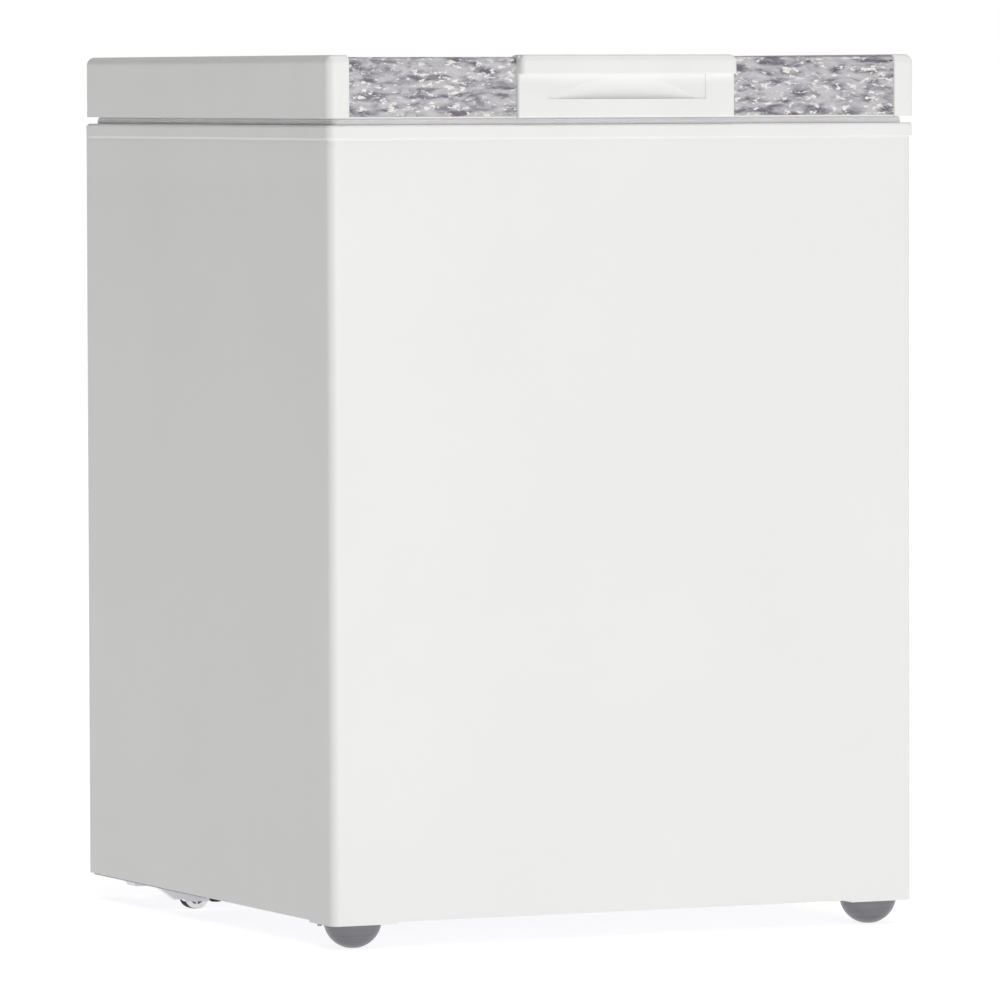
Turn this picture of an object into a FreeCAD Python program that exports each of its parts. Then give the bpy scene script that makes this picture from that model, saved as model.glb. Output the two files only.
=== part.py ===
"""Chest freezer: foamed steel cabinet, counterbalanced lid, front screw feet, rear rollers.

Millimetres. +X is the right-hand side seen from the front, +Y points back and +Z up.
The origin is under the middle of the overall footprint, on the floor.
"""
import FreeCAD
import Part
import math
import os

os.makedirs("parts", exist_ok=True)

# ---- cabinet ----
body_width = 620.0
body_depth = 612.0
overall_height = 850.0
hem_z = 25.5  # underside of the cabinet's lower hem
corner_radius = 9.0  # front vertical corners of the shell
shell_t = 0.8
hem_width = 14.0
foam_wall = 60.0  # shell to liner
liner_t = 1.0
liner_corner_radius = 32.0
liner_floor_z = 110.0
liner_rim = 14.0

# ---- collar, gasket and lid heights ----
lid_height = 60.0
gasket_gap = 6.4
collar_height = 12.6
overhang = 2.0  # collar and lid past the shell at the front and sides
collar_t = 2.0
collar_lip_drop = 12.0
handle_reach = 12.4  # handle front past the shell's front

# ---- compressor bay at the rear ----
bay_depth = 200.0
bay_height = 214.5
hump_foam = 58.0  # foam over and in front of the bay
bay_window_side = 48.0  # steel left beside the rear window
bay_window_low = 20.0
bay_window_high = 12.0
grille_lap = 25.0  # grille past the window at the sides
slot_bridge = 36.7  # steel left between two slots
slot_height = 5.0
slot_rows = 12
slot_columns = 3
base_plate_t = 2.0
base_plate_front = 324.0  # from the cabinet's front
base_plate_side = 4.0
base_plate_rear = 1.0

# ---- running gear ----
foot_radius = 28.4
foot_flat = 6.0  # radius of the flat that rests on the floor
foot_side = 34.0  # from the shell's side to the foot's middle
foot_back = 30.0
foot_wall = 1.5
foot_gap = 0.3
foot_boss_radius = 9.0
foot_boss_top = 12.5
stud_seat = 3.0  # thickness of steel and boss under the stud
foot_plate_x = 67.0
foot_plate_y = 55.0
foot_screw_side = 8.0  # outer screw from the shell's side
foot_screw_inset = 6.0  # screws from the plate's inner and rear edges
stud_radius = 4.0
stud_top = 46.0
thread_clearance = 0.05
nut_height = 6.5
nut_across = 13.0
roller_radius = 13.0
roller_width = 17.0
roller_side = 49.0  # from the shell's side to the axle
roller_front = 449.0  # roller's outer face, from the cabinet's front
roller_slot_gap = 2.0  # base plate's slot past the wheel
bracket_t = 10.0
bracket_half = 44.6  # half width at the base plate
bracket_slope = 16.6  # run of each sloping end
bracket_shoulder = 19.0  # half width where the heel starts
bracket_heel = 15.0  # half width at the lowest edge
bracket_floor_gap = 8.7
bracket_step = 2.8  # shoulder above the lowest edge
cheek_t = 5.0  # cheek that holds the axle behind the wheel
cheek_half = 18.0  # half width of the cheek and its two webs
web_t = 3.0
rest_rear = 6.0  # rear rest, from the cabinet's rear
rest_depth = 22.0
rest_half = 17.0  # half width at the base plate
rest_foot = 11.0  # half width at its lower edge
rest_floor_gap = 12.0
rest_rivet = 6.0  # rivets each side of the rest's middle
rivet_offset = 27.0  # rivets each side of the axle
rivet_radius = 1.6
axle_radius = 3.0
axle_clearance = 0.05
axle_cover = 2.0  # housing left over each end of the axle
side_gap = 0.3
hub_radius = 5.4
wheel_lip = 1.5  # width of the lip that holds the tread
tread_t = 3.0
spoke_t = 1.8
spoke_count = 6
stop_radius = 6.5
stop_ground_gap = 10.0
stop_ahead = 21.0  # stop's middle in front of the front bracket

# ---- lid ----
rail_width = 22.5
rail_wall = 3.0
rail_inner_radius = 1.8  # inner upper edge, beside the sheet
sheet_drop = 2.0  # patterned sheet below the rails
sheet_t = 1.0
sheet_bend = 7.0
lid_liner_t = 1.2
plug_inset = 82.0  # lid edge to plug
plug_drop = 25.0
plug_taper = 6.0
rear_rail_depth = 22.0
gasket_inset = 9.0  # lid edge to the gasket's foot
gasket_width = 24.0
gasket_clearance = 0.1

# ---- handle ----
handle_width = 230.0
handle_plate_t = 2.6
handle_lift = 0.2  # handle past the rails, at the top and at the bottom
brow_height = 18.7
brow_radius = 6.5
brow_end_radius = 5.5
brow_under_radius = 1.6
grip_width = 168.0
grip_low = 17.6  # above the lid's lower edge
grip_rim = 1.6  # depth of the recess at its ends and top
grip_depth = 9.0  # depth in the middle of its lower edge
grip_wall = 2.0
handle_flange = 14.0

# ---- hinges ----
hinge_spacing = 400.0
hinge_back = 14.0  # pin behind the shell's rear
pin_radius = 3.0
pin_clearance = 0.05
knuckle_radius = 8.0
hinge_plate_t = 2.0
hinge_base_width = 60.0
hinge_base_height = 110.0
hinge_arm_width = 30.0
hinge_ear_t = 3.0
hinge_arm_ear_t = 2.5
hinge_screw_edge = 6.5  # base screws from the plate's sides
hinge_screw_end = 22.0  # base screws from the plate's ends
hinge_base_drop = 8.0  # base plate below the collar's flange
hinge_arm_drop = 6.0  # strap below the lid's top
pivot_rise = 3.4  # pin above the collar's top
lid_screw_drop = 16.0  # strap screws below the lid's top
lid_screw_spread = 9.0
spring_radius = 6.2
spring_wire = 1.2

# ---- refrigeration ----
evaporator_tube = 3.0
condenser_tube = 2.4
line_radius = 3.2
capillary_radius = 1.2
coil_rise = 47.0  # lowest tube above the tub's step
coil_headroom = 116.6  # highest tube below the collar's flange
coil_passes = 6
coil_rear = 150.0  # U-bends, from the cabinet's rear
compressor_x = 70.0
compressor_radius = 68.0
compressor_height = 142.0
compressor_wall = 3.0
compressor_foot_x = 180.0
compressor_foot_y = 110.0
compressor_plate_t = 3.0
compressor_edge = 26.0  # rounding of the can's ends
compressor_ear = 13.0
weld_rise = 74.0  # weld flange above the base plate
weld_width = 3.0
weld_t = 4.0
grommet_height = 12.0
grommet_radius = 10.0
bolt_radius = 3.0
drier_radius = 9.0
drier_length = 86.0

# ---- controls, drain and basket ----
control_z = 140.0
control_y = 100.0  # from the cabinet's rear
control_width = 92.0
control_height = 56.0
knob_radius = 17.0
knob_depth = 13.0
dish_depth = 14.0
dish_rim = 3.0
spindle_radius = 3.0
lamp_radius = 4.0
gland_radius = 6.0
gland_side = 28.0  # from the shell's side
gland_rise = 30.0  # above the rear window's lower edge
lead_radius = 3.6
drain_x = 180.0
drain_back = 150.0
drain_radius = 9.0
drain_bore = 7.0
basket_x = 205.0
basket_depth = 190.0
basket_wall = 2.5
basket_gap = 6.0  # below the lid's plug
basket_corner = 24.0
basket_border = 22.0  # plain band at the basket's floor
basket_slot = 8.0
basket_slot_pitch = 24.0
screw_radius = 2.0
screw_head = 4.0
screw_hole = 2.2
screw_head_height = 2.2

# ---- places that follow from the sizes ----
hinge_reach = hinge_back + knuckle_radius  # hinge rear past the shell's rear
total_depth = handle_reach + body_depth + hinge_reach
front_y = -total_depth / 2 + handle_reach
rear_y = total_depth / 2 - hinge_reach
half_x = body_width / 2
lid_half = half_x + overhang
lid_front = front_y - overhang
lid_z = overall_height - lid_height
collar_top = lid_z - gasket_gap
collar_low = collar_top - collar_height
deck_z = collar_top - collar_t  # underside of the collar's flange
panel_z = hem_z + shell_t
foam_low = panel_z + shell_t
liner_half = half_x - foam_wall
liner_front = front_y + foam_wall
liner_back = rear_y - foam_wall
bay_front = rear_y - bay_depth
bay_top = hem_z + bay_height
hump_front = bay_front - hump_foam
hump_z = bay_top + hump_foam
plate_low = hem_z - base_plate_t
foot_x = half_x - foot_side
foot_y = front_y + foot_back
roller_x = half_x - roller_side
roller_y = front_y + roller_front
bracket_y = roller_y - side_gap - bracket_t
cheek_y = roller_y + roller_width + side_gap
rest_y = rear_y - rest_rear - rest_depth
sheet_top = overall_height - sheet_drop
sheet_front = lid_front + sheet_drop
sheet_half = lid_half - rail_width
pivot_y = rear_y + hinge_back
pivot_z = collar_top + pivot_rise
hinge_xs = (-hinge_spacing / 2, hinge_spacing / 2)
window_half = half_x - bay_window_side
window_low = hem_z + bay_window_low
window_high = bay_top - bay_window_high
coil_low = hump_z + coil_rise
coil_step = (deck_z - coil_headroom - coil_low) / (coil_passes - 1)
compressor_y = (bay_front + rear_y) / 2
control_mid_y = rear_y - control_y


def vec(x, y, z):
    return FreeCAD.Vector(x, y, z)


def box(x0, x1, y0, y1, z0, z1):
    """A block between two corners."""
    return Part.makeBox(x1 - x0, y1 - y0, z1 - z0, vec(x0, y0, z0))


def rod(radius, height, x, y, z, axis=(0, 0, 1)):
    """A cylinder whose first end is centred on the point."""
    return Part.makeCylinder(radius, height, vec(x, y, z), vec(*axis))


def rounded(solid, radius, wanted):
    """Round the straight edges that the test function picks."""
    edges = [edge for edge in solid.Edges if wanted(edge)]
    return solid.makeFillet(radius, edges)


def is_vertical(edge):
    low, high = edge.BoundBox.ZMin, edge.BoundBox.ZMax
    return high - low > 0.1 and edge.BoundBox.XLength < 0.01 and edge.BoundBox.YLength < 0.01


def is_along_x(edge):
    bounds = edge.BoundBox
    return bounds.XLength > 1 and bounds.YLength < 0.01 and bounds.ZLength < 0.01


def front_rounded_block(half, y0, y1, z0, z1, radius):
    """A block centred on X with its two front vertical edges rounded."""
    block = box(-half, half, y0, y1, z0, z1)
    return rounded(block, radius, lambda e: is_vertical(e) and e.BoundBox.YMin < y0 + 0.01)


def corner_rounded_block(half, y0, y1, z0, z1, radius):
    """A block centred on X with all four vertical edges rounded."""
    return rounded(box(-half, half, y0, y1, z0, z1), radius, is_vertical)


def drilled(solid, points, radius, axis, length):
    """Cut the same round hole at each point."""
    for point in points:
        solid = solid.cut(rod(radius, length, *point, axis))
    return solid


def group(solids):
    """Separate solids kept in one node."""
    return Part.makeCompound(solids)


def prism_x(points, x0, x1):
    """Extrude a (Y, Z) outline along X."""
    wire = Part.makePolygon([vec(x0, y, z) for y, z in points + points[:1]])
    return Part.Face(wire).extrude(vec(x1 - x0, 0, 0))


def prism_y(points, y0, y1):
    """Extrude an (X, Z) outline along Y."""
    wire = Part.makePolygon([vec(x, y0, z) for x, z in points + points[:1]])
    return Part.Face(wire).extrude(vec(0, y1 - y0, 0))


def tube_path(points, radii):
    """Straight runs joined by tangent arcs: one radius for each inner point."""
    edges = []
    last = vec(*points[0])
    for before, here, after, radius in zip(points, points[1:], points[2:], radii):
        corner = vec(*here)
        into = (corner - vec(*before)).normalize()
        out = (vec(*after) - corner).normalize()
        half_turn = into.getAngle(out) / 2
        reach = radius * math.tan(half_turn)
        start = corner - into * reach
        end = corner + out * reach
        inward = (out - into).normalize()
        middle = corner + inward * (radius / math.cos(half_turn) - radius)
        if start.distanceToPoint(last) > 0.01:
            edges.append(Part.LineSegment(last, start).toShape())
        edges.append(Part.Arc(start, middle, end).toShape())
        last = end
    if vec(*points[-1]).distanceToPoint(last) > 0.01:
        edges.append(Part.LineSegment(last, vec(*points[-1])).toShape())
    return Part.Wire(edges)


def tube(points, radii, radius, bore=0.0):
    """A round tube or rod swept along its route."""
    path = tube_path(points, radii)
    along = path.Edges[0].tangentAt(path.Edges[0].FirstParameter)
    ring = Part.Wire(Part.makeCircle(radius, vec(*points[0]), along))
    outer = path.makePipeShell([ring], True, False)
    if bore:
        ring = Part.Wire(Part.makeCircle(bore, vec(*points[0]), along))
        outer = outer.cut(path.makePipeShell([ring], True, False))
    print("tube", round(outer.Volume / (math.pi * (radius**2 - bore**2) * path.Length), 3), min(radii))
    return outer


# ---- cabinet ----
def bay_space():
    """The compressor bay, open across the full width."""
    return box(-half_x, half_x, bay_front, rear_y + 1, hem_z - 5, bay_top)


def make_outer_shell():
    """Front and side sheet in one piece, with a hem turned in at the bottom."""
    outside = front_rounded_block(half_x, front_y, rear_y, hem_z, deck_z, corner_radius)
    inner_radius = corner_radius - shell_t
    inside = front_rounded_block(
        half_x - shell_t, front_y + shell_t, rear_y + 1, panel_z, deck_z + 1, inner_radius
    )
    floor_cut = box(-half_x + hem_width, half_x - hem_width, front_y + hem_width, rear_y + 1, 0, panel_z + 1)
    shell = outside.cut(inside).cut(floor_cut)
    window = control_block(dish_rim, half_x - 5, half_x + 5)
    shell = drilled(shell, foot_screw_points(), screw_hole, (0, 0, 1), 10)
    return shell.cut(window)


def make_rear_panel():
    """Rear sheet with a window into the compressor bay."""
    panel = box(-half_x + shell_t, half_x - shell_t, rear_y - shell_t, rear_y, panel_z, deck_z)
    panel = panel.cut(box(-window_half, window_half, rear_y - 5, rear_y + 5, window_low, window_high))
    panel = drilled(panel, grille_screw_points() + hinge_screw_points(), screw_hole, (0, -1, 0), 20)
    x, y, z = gland_place()
    return panel.cut(rod(gland_radius, 10, x, y - 5, z, (0, 1, 0)))


def make_bottom_panel():
    """Flat sheet under the foam in front of the bay."""
    inner_radius = corner_radius - shell_t
    panel = front_rounded_block(
        half_x - shell_t, front_y + shell_t, bay_front, panel_z, foam_low, inner_radius
    )
    panel = drilled(panel, foot_points(0), stud_radius + 0.5, (0, 0, 1), 60)
    panel = drilled(panel, foot_screw_points(), screw_hole, (0, 0, 1), 40)
    return panel.cut(rod(drain_radius, 60, drain_x, front_y + drain_back, 0))


def make_bay_wall():
    """Bent sheet that closes the foam off from the bay: an upright and a ceiling."""
    inner = half_x - shell_t
    upright = box(-inner, inner, bay_front, bay_front + shell_t, panel_z, bay_top + shell_t)
    ceiling = box(-inner, inner, bay_front, rear_y - shell_t, bay_top, bay_top + shell_t)
    wall = upright.fuse(ceiling).removeSplitter()
    for x, y in tube_exit_points():
        wall = wall.cut(rod(evaporator_tube + 1, 20, x, y, bay_top - 10))
    return wall


def make_rear_base_plate():
    """Galvanised plate that carries the compressor and the rollers."""
    side = half_x - base_plate_side
    plate = box(-side, side, front_y + base_plate_front, rear_y - base_plate_rear, plate_low, hem_z)
    for side in (-1, 1):
        middle = side * roller_x
        reach = math.sqrt(roller_radius**2 - (plate_low - roller_radius) ** 2) + roller_slot_gap
        plate = plate.cut(box(middle - reach, middle + reach, roller_y - roller_slot_gap,
                              roller_y + roller_width + roller_slot_gap, 0, hem_z + 1))
    plate = drilled(plate, compressor_bolt_points(0), bolt_radius, (0, 0, 1), 60)
    return drilled(plate, rivet_points(), rivet_radius, (0, 0, 1), 60)


def liner_block(grow, z1):
    """The liner's stepped outside, grown outwards by the given amount."""
    y0 = liner_front - grow
    y1 = liner_back + grow
    half = liner_half + grow
    radius = liner_corner_radius + grow
    low = liner_floor_z - grow
    block = corner_rounded_block(half, y0, y1, low, z1, radius)
    block = rounded(block, 12 + grow, lambda e: abs(e.BoundBox.ZMax - low) < 0.01)
    step = box(-half - 1, half + 1, hump_front + grow, y1 + 1, low - 1, hump_z - grow)
    return block.cut(step)


def make_inner_liner():
    """Aluminium tub with a step over the compressor bay and a rim turned out on the foam."""
    tub = liner_block(liner_t, deck_z)
    rim = corner_rounded_block(
        liner_half + liner_rim, liner_front - liner_rim, liner_back + liner_rim,
        deck_z - liner_t, deck_z, liner_corner_radius + liner_rim,
    )
    tub = tub.fuse(rim).cut(liner_block(0, deck_z + 1))
    return tub.cut(rod(drain_bore, 40, drain_x, front_y + drain_back, liner_floor_z - 20))


def make_cabinet_foam():
    """Foam that fills the space between shell and liner, with channels for the coils."""
    gap = shell_t
    foam = front_rounded_block(
        half_x - gap, front_y + gap, rear_y - gap, foam_low, deck_z, corner_radius - gap
    )
    foam = foam.cut(liner_block(liner_t, deck_z + 1))
    rim = corner_rounded_block(
        liner_half + liner_rim, liner_front - liner_rim, liner_back + liner_rim,
        deck_z - liner_t, deck_z + 1, liner_corner_radius + liner_rim,
    )
    foam = foam.cut(rim)
    foam = foam.cut(box(-half_x, half_x, bay_front, rear_y + 1, 0, bay_top + shell_t))
    foam = foam.cut(evaporator_channel()).cut(condenser_channel())
    foam = drilled(foam, foot_points(0), 12.0, (0, 0, 1), stud_top + 6)
    foam = drilled(foam, foot_screw_points(), screw_hole, (0, 0, 1), 24)
    foam = drilled(foam, hinge_screw_points(), screw_hole, (0, -1, 0), 16)
    return foam.cut(rod(drain_radius, liner_floor_z, drain_x, front_y + drain_back, 0))


def channel(inner_half, inner_front, inner_radius, depth, outward):
    """A three-sided band beside a wall, deep enough for a tube."""
    low = coil_low - 12
    high = coil_low + coil_step * (coil_passes - 1) + 12
    rear = rear_y - coil_rear + coil_step / 2 + 16
    inner = front_rounded_block(inner_half, inner_front, rear + 5, low - 1, high + 1, inner_radius)
    outer_radius = inner_radius + depth
    outer = front_rounded_block(inner_half + depth, inner_front - depth, rear, low, high, outer_radius)
    band = outer.cut(inner)
    side = outward * (inner_half + depth / 2)
    return band.fuse(box(side - depth / 2, side + depth / 2, tail_y(0) - 8, rear, bay_top, high))


def evaporator_channel():
    return channel(liner_half + liner_t, liner_front - liner_t, liner_corner_radius + liner_t, 8, 1)


def condenser_channel():
    depth = 7
    inset = shell_t + depth
    middle_half, middle_front, bend = coil_offset("condenser")
    inner_radius = bend - (inset - (half_x - middle_half))
    return channel(half_x - inset, front_y + inset, inner_radius, depth, -1)


def tail_y(index):
    """Where the two ends of a coil drop to the bay."""
    bend_end = rear_y - coil_rear + coil_step / 2
    return rear_y - coil_rear - 20 if index == 0 else bend_end + 8


def coil_offset(kind):
    """Half width, front and bend radius of a coil's middle line."""
    if kind == "evaporator":
        reach = liner_t + evaporator_tube + 0.2
        return liner_half + reach, liner_front - reach, liner_corner_radius + reach
    reach = shell_t + condenser_tube + 0.2
    return half_x - reach, front_y + reach, 22.0


def make_coil(kind, tube_radius, hand):
    """A serpentine round three sides whose two ends drop into the bay on one side."""
    half, front, bend = coil_offset(kind)
    turn_y = rear_y - coil_rear
    side = hand
    points = [(side * half, tail_y(0), bay_top - 16)]
    radii = []
    for index in range(coil_passes):
        z = coil_low + index * coil_step
        start_y = tail_y(0) if index == 0 else turn_y + coil_step / 2
        points += [(side * half, start_y, z), (side * half, front, z), (-side * half, front, z)]
        radii += [18.0 if index == 0 else coil_step / 2 - 0.01, bend, bend]
        side = -side
        if index < coil_passes - 1:
            points.append((side * half, turn_y + coil_step / 2, z))
            radii.append(coil_step / 2 - 0.01)
    points += [(side * half, tail_y(1), z), (side * half, tail_y(1), bay_top - 16)]
    radii.append(18.0)
    return tube(points, radii, tube_radius)


def tube_exit_points():
    """Where the coils' ends pass through the bay's ceiling."""
    right = coil_offset("evaporator")[0]
    left = -coil_offset("condenser")[0]
    return [(x, tail_y(index)) for x in (right, left) for index in (0, 1)]


def make_top_collar():
    """White frame that caps the shell, the foam and the liner's rim."""
    outside = corner_rounded_block(lid_half, lid_front, rear_y, collar_low, collar_top, corner_radius)
    outside = rounded(outside, 2.5, lambda e: e.BoundBox.ZMin > collar_top - 0.01)
    inner_radius = liner_corner_radius - collar_t
    lip_half = liner_half - collar_t
    lip_front = liner_front + collar_t
    lip_back = liner_back - collar_t
    lip = corner_rounded_block(
        liner_half, liner_front, liner_back, deck_z - collar_lip_drop, collar_top, liner_corner_radius
    )
    well = corner_rounded_block(lip_half, lip_front, lip_back, 0, overall_height, inner_radius)
    under = front_rounded_block(half_x, front_y, rear_y + 1, 0, deck_z, corner_radius)
    return outside.cut(under).fuse(lip).cut(well).removeSplitter()


# ---- running gear ----
def foot_points(z):
    return [(side * foot_x, foot_y, z) for side in (-1, 1)]


def foot_screw_points():
    """Two screws in each foot plate, behind the foot."""
    y = front_y + foot_plate_y - foot_screw_inset
    points = []
    for side in (-1, 1):
        points += [(side * (half_x - foot_plate_x + foot_screw_inset), y, plate_low),
                   (side * (half_x - foot_screw_side), y, plate_low)]
    return points


def make_foot_plates():
    """A plate under each front corner of the hem."""
    plates = []
    for side in (-1, 1):
        x0, x1 = sorted((side * half_x, side * (half_x - foot_plate_x)))
        plate = box(x0, x1, front_y, front_y + foot_plate_y, plate_low, hem_z)
        outer = side * half_x
        plate = rounded(
            plate, corner_radius,
            lambda e: is_vertical(e) and abs(e.BoundBox.XMin - outer) < 0.1 and e.BoundBox.YMin < front_y + 1,
        )
        plate = drilled(plate, foot_points(0), stud_radius + 0.5, (0, 0, 1), 60)
        plates.append(drilled(plate, foot_screw_points(), screw_hole, (0, 0, 1), 40))
    return group(plates)


def make_foot_nuts():
    """Hexagon nuts on the bottom panel over the feet."""
    nuts = []
    for x, y, z in foot_points(foam_low):
        corners = [
            vec(x + nut_across / 1.732 * math.cos(k * math.pi / 3),
                y + nut_across / 1.732 * math.sin(k * math.pi / 3), z)
            for k in range(6)
        ]
        blank = Part.Face(Part.makePolygon(corners + corners[:1])).extrude(vec(0, 0, nut_height))
        nuts.append(blank.cut(rod(stud_radius + thread_clearance, 40, x, y, z - 10)))
    return group(nuts)


def make_foot_dome(side):
    """Pressed steel dome with a boss inside that holds the stud's end."""
    x = side * foot_x
    centre = math.sqrt(foot_radius**2 - foot_flat**2)
    top = plate_low - foot_gap
    keep = rod(foot_radius + 5, top, x, foot_y, 0)
    dome = Part.makeSphere(foot_radius, vec(x, foot_y, centre)).common(keep)
    hollow = Part.makeSphere(foot_radius - foot_wall, vec(x, foot_y, centre))
    hollow = hollow.common(rod(foot_radius, top, x, foot_y, foot_wall))
    dome = dome.cut(hollow).fuse(rod(foot_boss_radius, foot_boss_top - 0.5, x, foot_y, 0.5))
    return dome.cut(rod(stud_radius + thread_clearance, 40, x, foot_y, stud_seat)).removeSplitter()


def make_foot_stud(side):
    """Threaded stud, shown as its plain outside diameter with a screwdriver slot on top."""
    x = side * foot_x
    low = stud_seat + foot_gap
    stud = rod(stud_radius, stud_top - low, x, foot_y, low)
    return stud.cut(box(x - 5, x + 5, foot_y - 0.6, foot_y + 0.6, stud_top - 2.5, stud_top + 1))


def bracket_outline(middle):
    """The bracket's front outline: wide at the plate and narrow under the axle."""
    foot = bracket_floor_gap
    shoulder = foot + bracket_step
    slope_end = bracket_half - bracket_slope
    corners = [
        (bracket_half, plate_low), (slope_end, shoulder), (bracket_shoulder, shoulder), (bracket_heel, foot),
    ]
    left = [(middle - x, z) for x, z in corners]
    return left + [(middle + x, z) for x, z in reversed(corners)]


def rivet_points():
    """Two rivets through the base plate and each bracket, and two through each rear rest."""
    points = []
    for side in (-1, 1):
        for y, offset in ((bracket_y + bracket_t / 2, rivet_offset), (rest_y + rest_depth / 2, rest_rivet)):
            for x in (side * roller_x - offset, side * roller_x + offset):
                points.append((x, y, plate_low - 5))
    return points


def make_roller_brackets():
    """Two moulded housings: a front wall, two webs beside the wheel and a cheek behind it."""
    brackets = []
    low = bracket_floor_gap + bracket_step
    for side in (-1, 1):
        middle = side * roller_x
        bracket = prism_y(bracket_outline(middle), bracket_y, bracket_y + bracket_t)
        cheek = box(middle - cheek_half, middle + cheek_half, cheek_y, cheek_y + cheek_t,
                    bracket_floor_gap, plate_low)
        webs = [box(x, x + web_t, bracket_y + 1, cheek_y + 1, low, plate_low)
                for x in (middle - cheek_half, middle + cheek_half - web_t)]
        bracket = bracket.fuse([cheek] + webs).removeSplitter()
        start, end = axle_span()
        bracket = bracket.cut(rod(axle_radius, end - start, middle, start, roller_radius, (0, 1, 0)))
        brackets.append(drilled(bracket, rivet_points(), rivet_radius, (0, 0, 1), 30))
    return group(brackets)


def make_rear_rests():
    """Two moulded blocks under the base plate's rear edge, clear of the floor."""
    rests = []
    for side in (-1, 1):
        middle = side * roller_x
        outline = [(middle - rest_half, plate_low), (middle - rest_foot, rest_floor_gap),
                   (middle + rest_foot, rest_floor_gap), (middle + rest_half, plate_low)]
        rest = prism_y(outline, rest_y, rest_y + rest_depth)
        rests.append(drilled(rest, rivet_points(), rivet_radius, (0, 0, 1), 30))
    return group(rests)


def make_bracket_rivets():
    rivets = []
    for x, y, z in rivet_points():
        head = rod(2 * rivet_radius, 1.2, x, y, hem_z)
        rivets.append(rod(rivet_radius, hem_z - z, x, y, z).fuse(head).removeSplitter())
    return group(rivets)


def axle_span():
    """The axle's ends in Y: it stops short of both outer faces of its housing."""
    return bracket_y + axle_cover, cheek_y + cheek_t - axle_cover


def make_roller_axles():
    """One short steel axle in each housing."""
    start, end = axle_span()
    return group([rod(axle_radius, end - start, side * roller_x, start, roller_radius, (0, 1, 0))
                  for side in (-1, 1)])


def roller_ring(middle, y, outer, inner, width):
    ring = rod(outer, width, middle, y, roller_radius, (0, 1, 0))
    return ring.cut(rod(inner, width + 2, middle, y - 1, roller_radius, (0, 1, 0)))


def make_roller_core(middle):
    """Spoked plastic wheel with a lip that holds its tyre."""
    y = roller_y
    bore = axle_radius + axle_clearance
    rim = roller_radius - tread_t
    core = roller_ring(middle, y, hub_radius, bore, roller_width)
    core = core.fuse(roller_ring(middle, y, roller_radius - 0.4, rim - 2, wheel_lip))
    core = core.fuse(roller_ring(middle, y, rim, rim - 2, roller_width))
    for index in range(spoke_count):
        spoke = box(middle - spoke_t / 2, middle + spoke_t / 2, y + 1, y + roller_width - 1,
                    roller_radius + hub_radius - 1, roller_radius + rim - 1)
        spoke.rotate(vec(middle, y, roller_radius), vec(0, 1, 0), 360 / spoke_count * index)
        core = core.fuse(spoke)
    return core.removeSplitter()


def make_roller_tyre(middle):
    """Black rubber tread on the wheel's rim."""
    width = roller_width - wheel_lip
    tyre = roller_ring(middle, roller_y + wheel_lip, roller_radius, roller_radius - tread_t, width)
    return tyre.makeFillet(1.2, [e for e in tyre.Edges
                                 if abs(e.Length - 2 * math.pi * roller_radius) < 0.1])


def make_rubber_stops():
    """Rubber buffers under the plate in front of the rollers."""
    stops = []
    for side in (-1, 1):
        x = side * (roller_x - 7)
        stop = rod(stop_radius, plate_low - stop_ground_gap, x, bracket_y - stop_ahead, stop_ground_gap)
        stops.append(stop.makeFillet(2.5, [stop.Edges[2]]))
    return group(stops)


# ---- refrigeration in the bay ----
def compressor_bolt_points(z):
    xs = (compressor_x - compressor_foot_x / 2, compressor_x + compressor_foot_x / 2)
    ys = (compressor_y - compressor_foot_y / 2, compressor_y + compressor_foot_y / 2)
    return [(x, y, z) for x in xs for y in ys]


def compressor_base_z():
    return hem_z + grommet_height


def weld_z():
    """Underside of the can's weld flange."""
    return compressor_base_z() + compressor_plate_t + weld_rise


def rounded_can(radius, height, edge_radius, z):
    """A drum at the compressor's place with both ends rounded."""
    can = rod(radius, height, compressor_x, compressor_y, z)
    return can.makeFillet(edge_radius, [edge for edge in can.Edges if len(edge.Vertexes) == 1])


def make_compressor_shell():
    """Hermetic steel can with a weld flange and a base plate with four ears."""
    z = compressor_base_z()
    low = z + compressor_plate_t
    can = rounded_can(compressor_radius, compressor_height, compressor_edge, low)
    inside = rounded_can(
        compressor_radius - compressor_wall, compressor_height - 2 * compressor_wall,
        compressor_edge - compressor_wall, low + compressor_wall,
    )
    flange = rod(compressor_radius + weld_width, weld_t, compressor_x, compressor_y, weld_z())
    half = compressor_foot_x / 2 + compressor_ear
    deep = compressor_foot_y / 2 + compressor_ear
    x, y = compressor_x, compressor_y
    plate = rounded(box(x - half, x + half, y - deep, y + deep, z, low + 1), compressor_ear, is_vertical)
    plate = drilled(plate, compressor_bolt_points(0), grommet_radius - 4, (0, 0, 1), 90)
    return can.fuse([flange, plate]).cut(inside).removeSplitter()


def make_compressor_motor():
    """Motor and pump block inside the can, on four sprung feet."""
    floor = compressor_base_z() + compressor_plate_t + compressor_wall
    x, y = compressor_x, compressor_y
    stator = rod(46, 44, x, y, floor + 16).cut(rod(24.5, 50, x, y, floor + 14))
    rotor = rod(24, 44, x, y, floor + 16).fuse(rod(8, 80, x, y, floor + 14))
    block = rod(44, 22, x, y, floor + 60).cut(rod(8.1, 40, x, y, floor + 55))
    head = box(x - 14, x + 14, y + 36, y + 56, floor + 62, floor + 80).cut(block)
    feet = [rod(5, 16, x + 26 * a, y + 22 * b, floor) for a in (-1, 1) for b in (-1, 1)]
    return group([stator, rotor, block, head] + feet)


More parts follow.
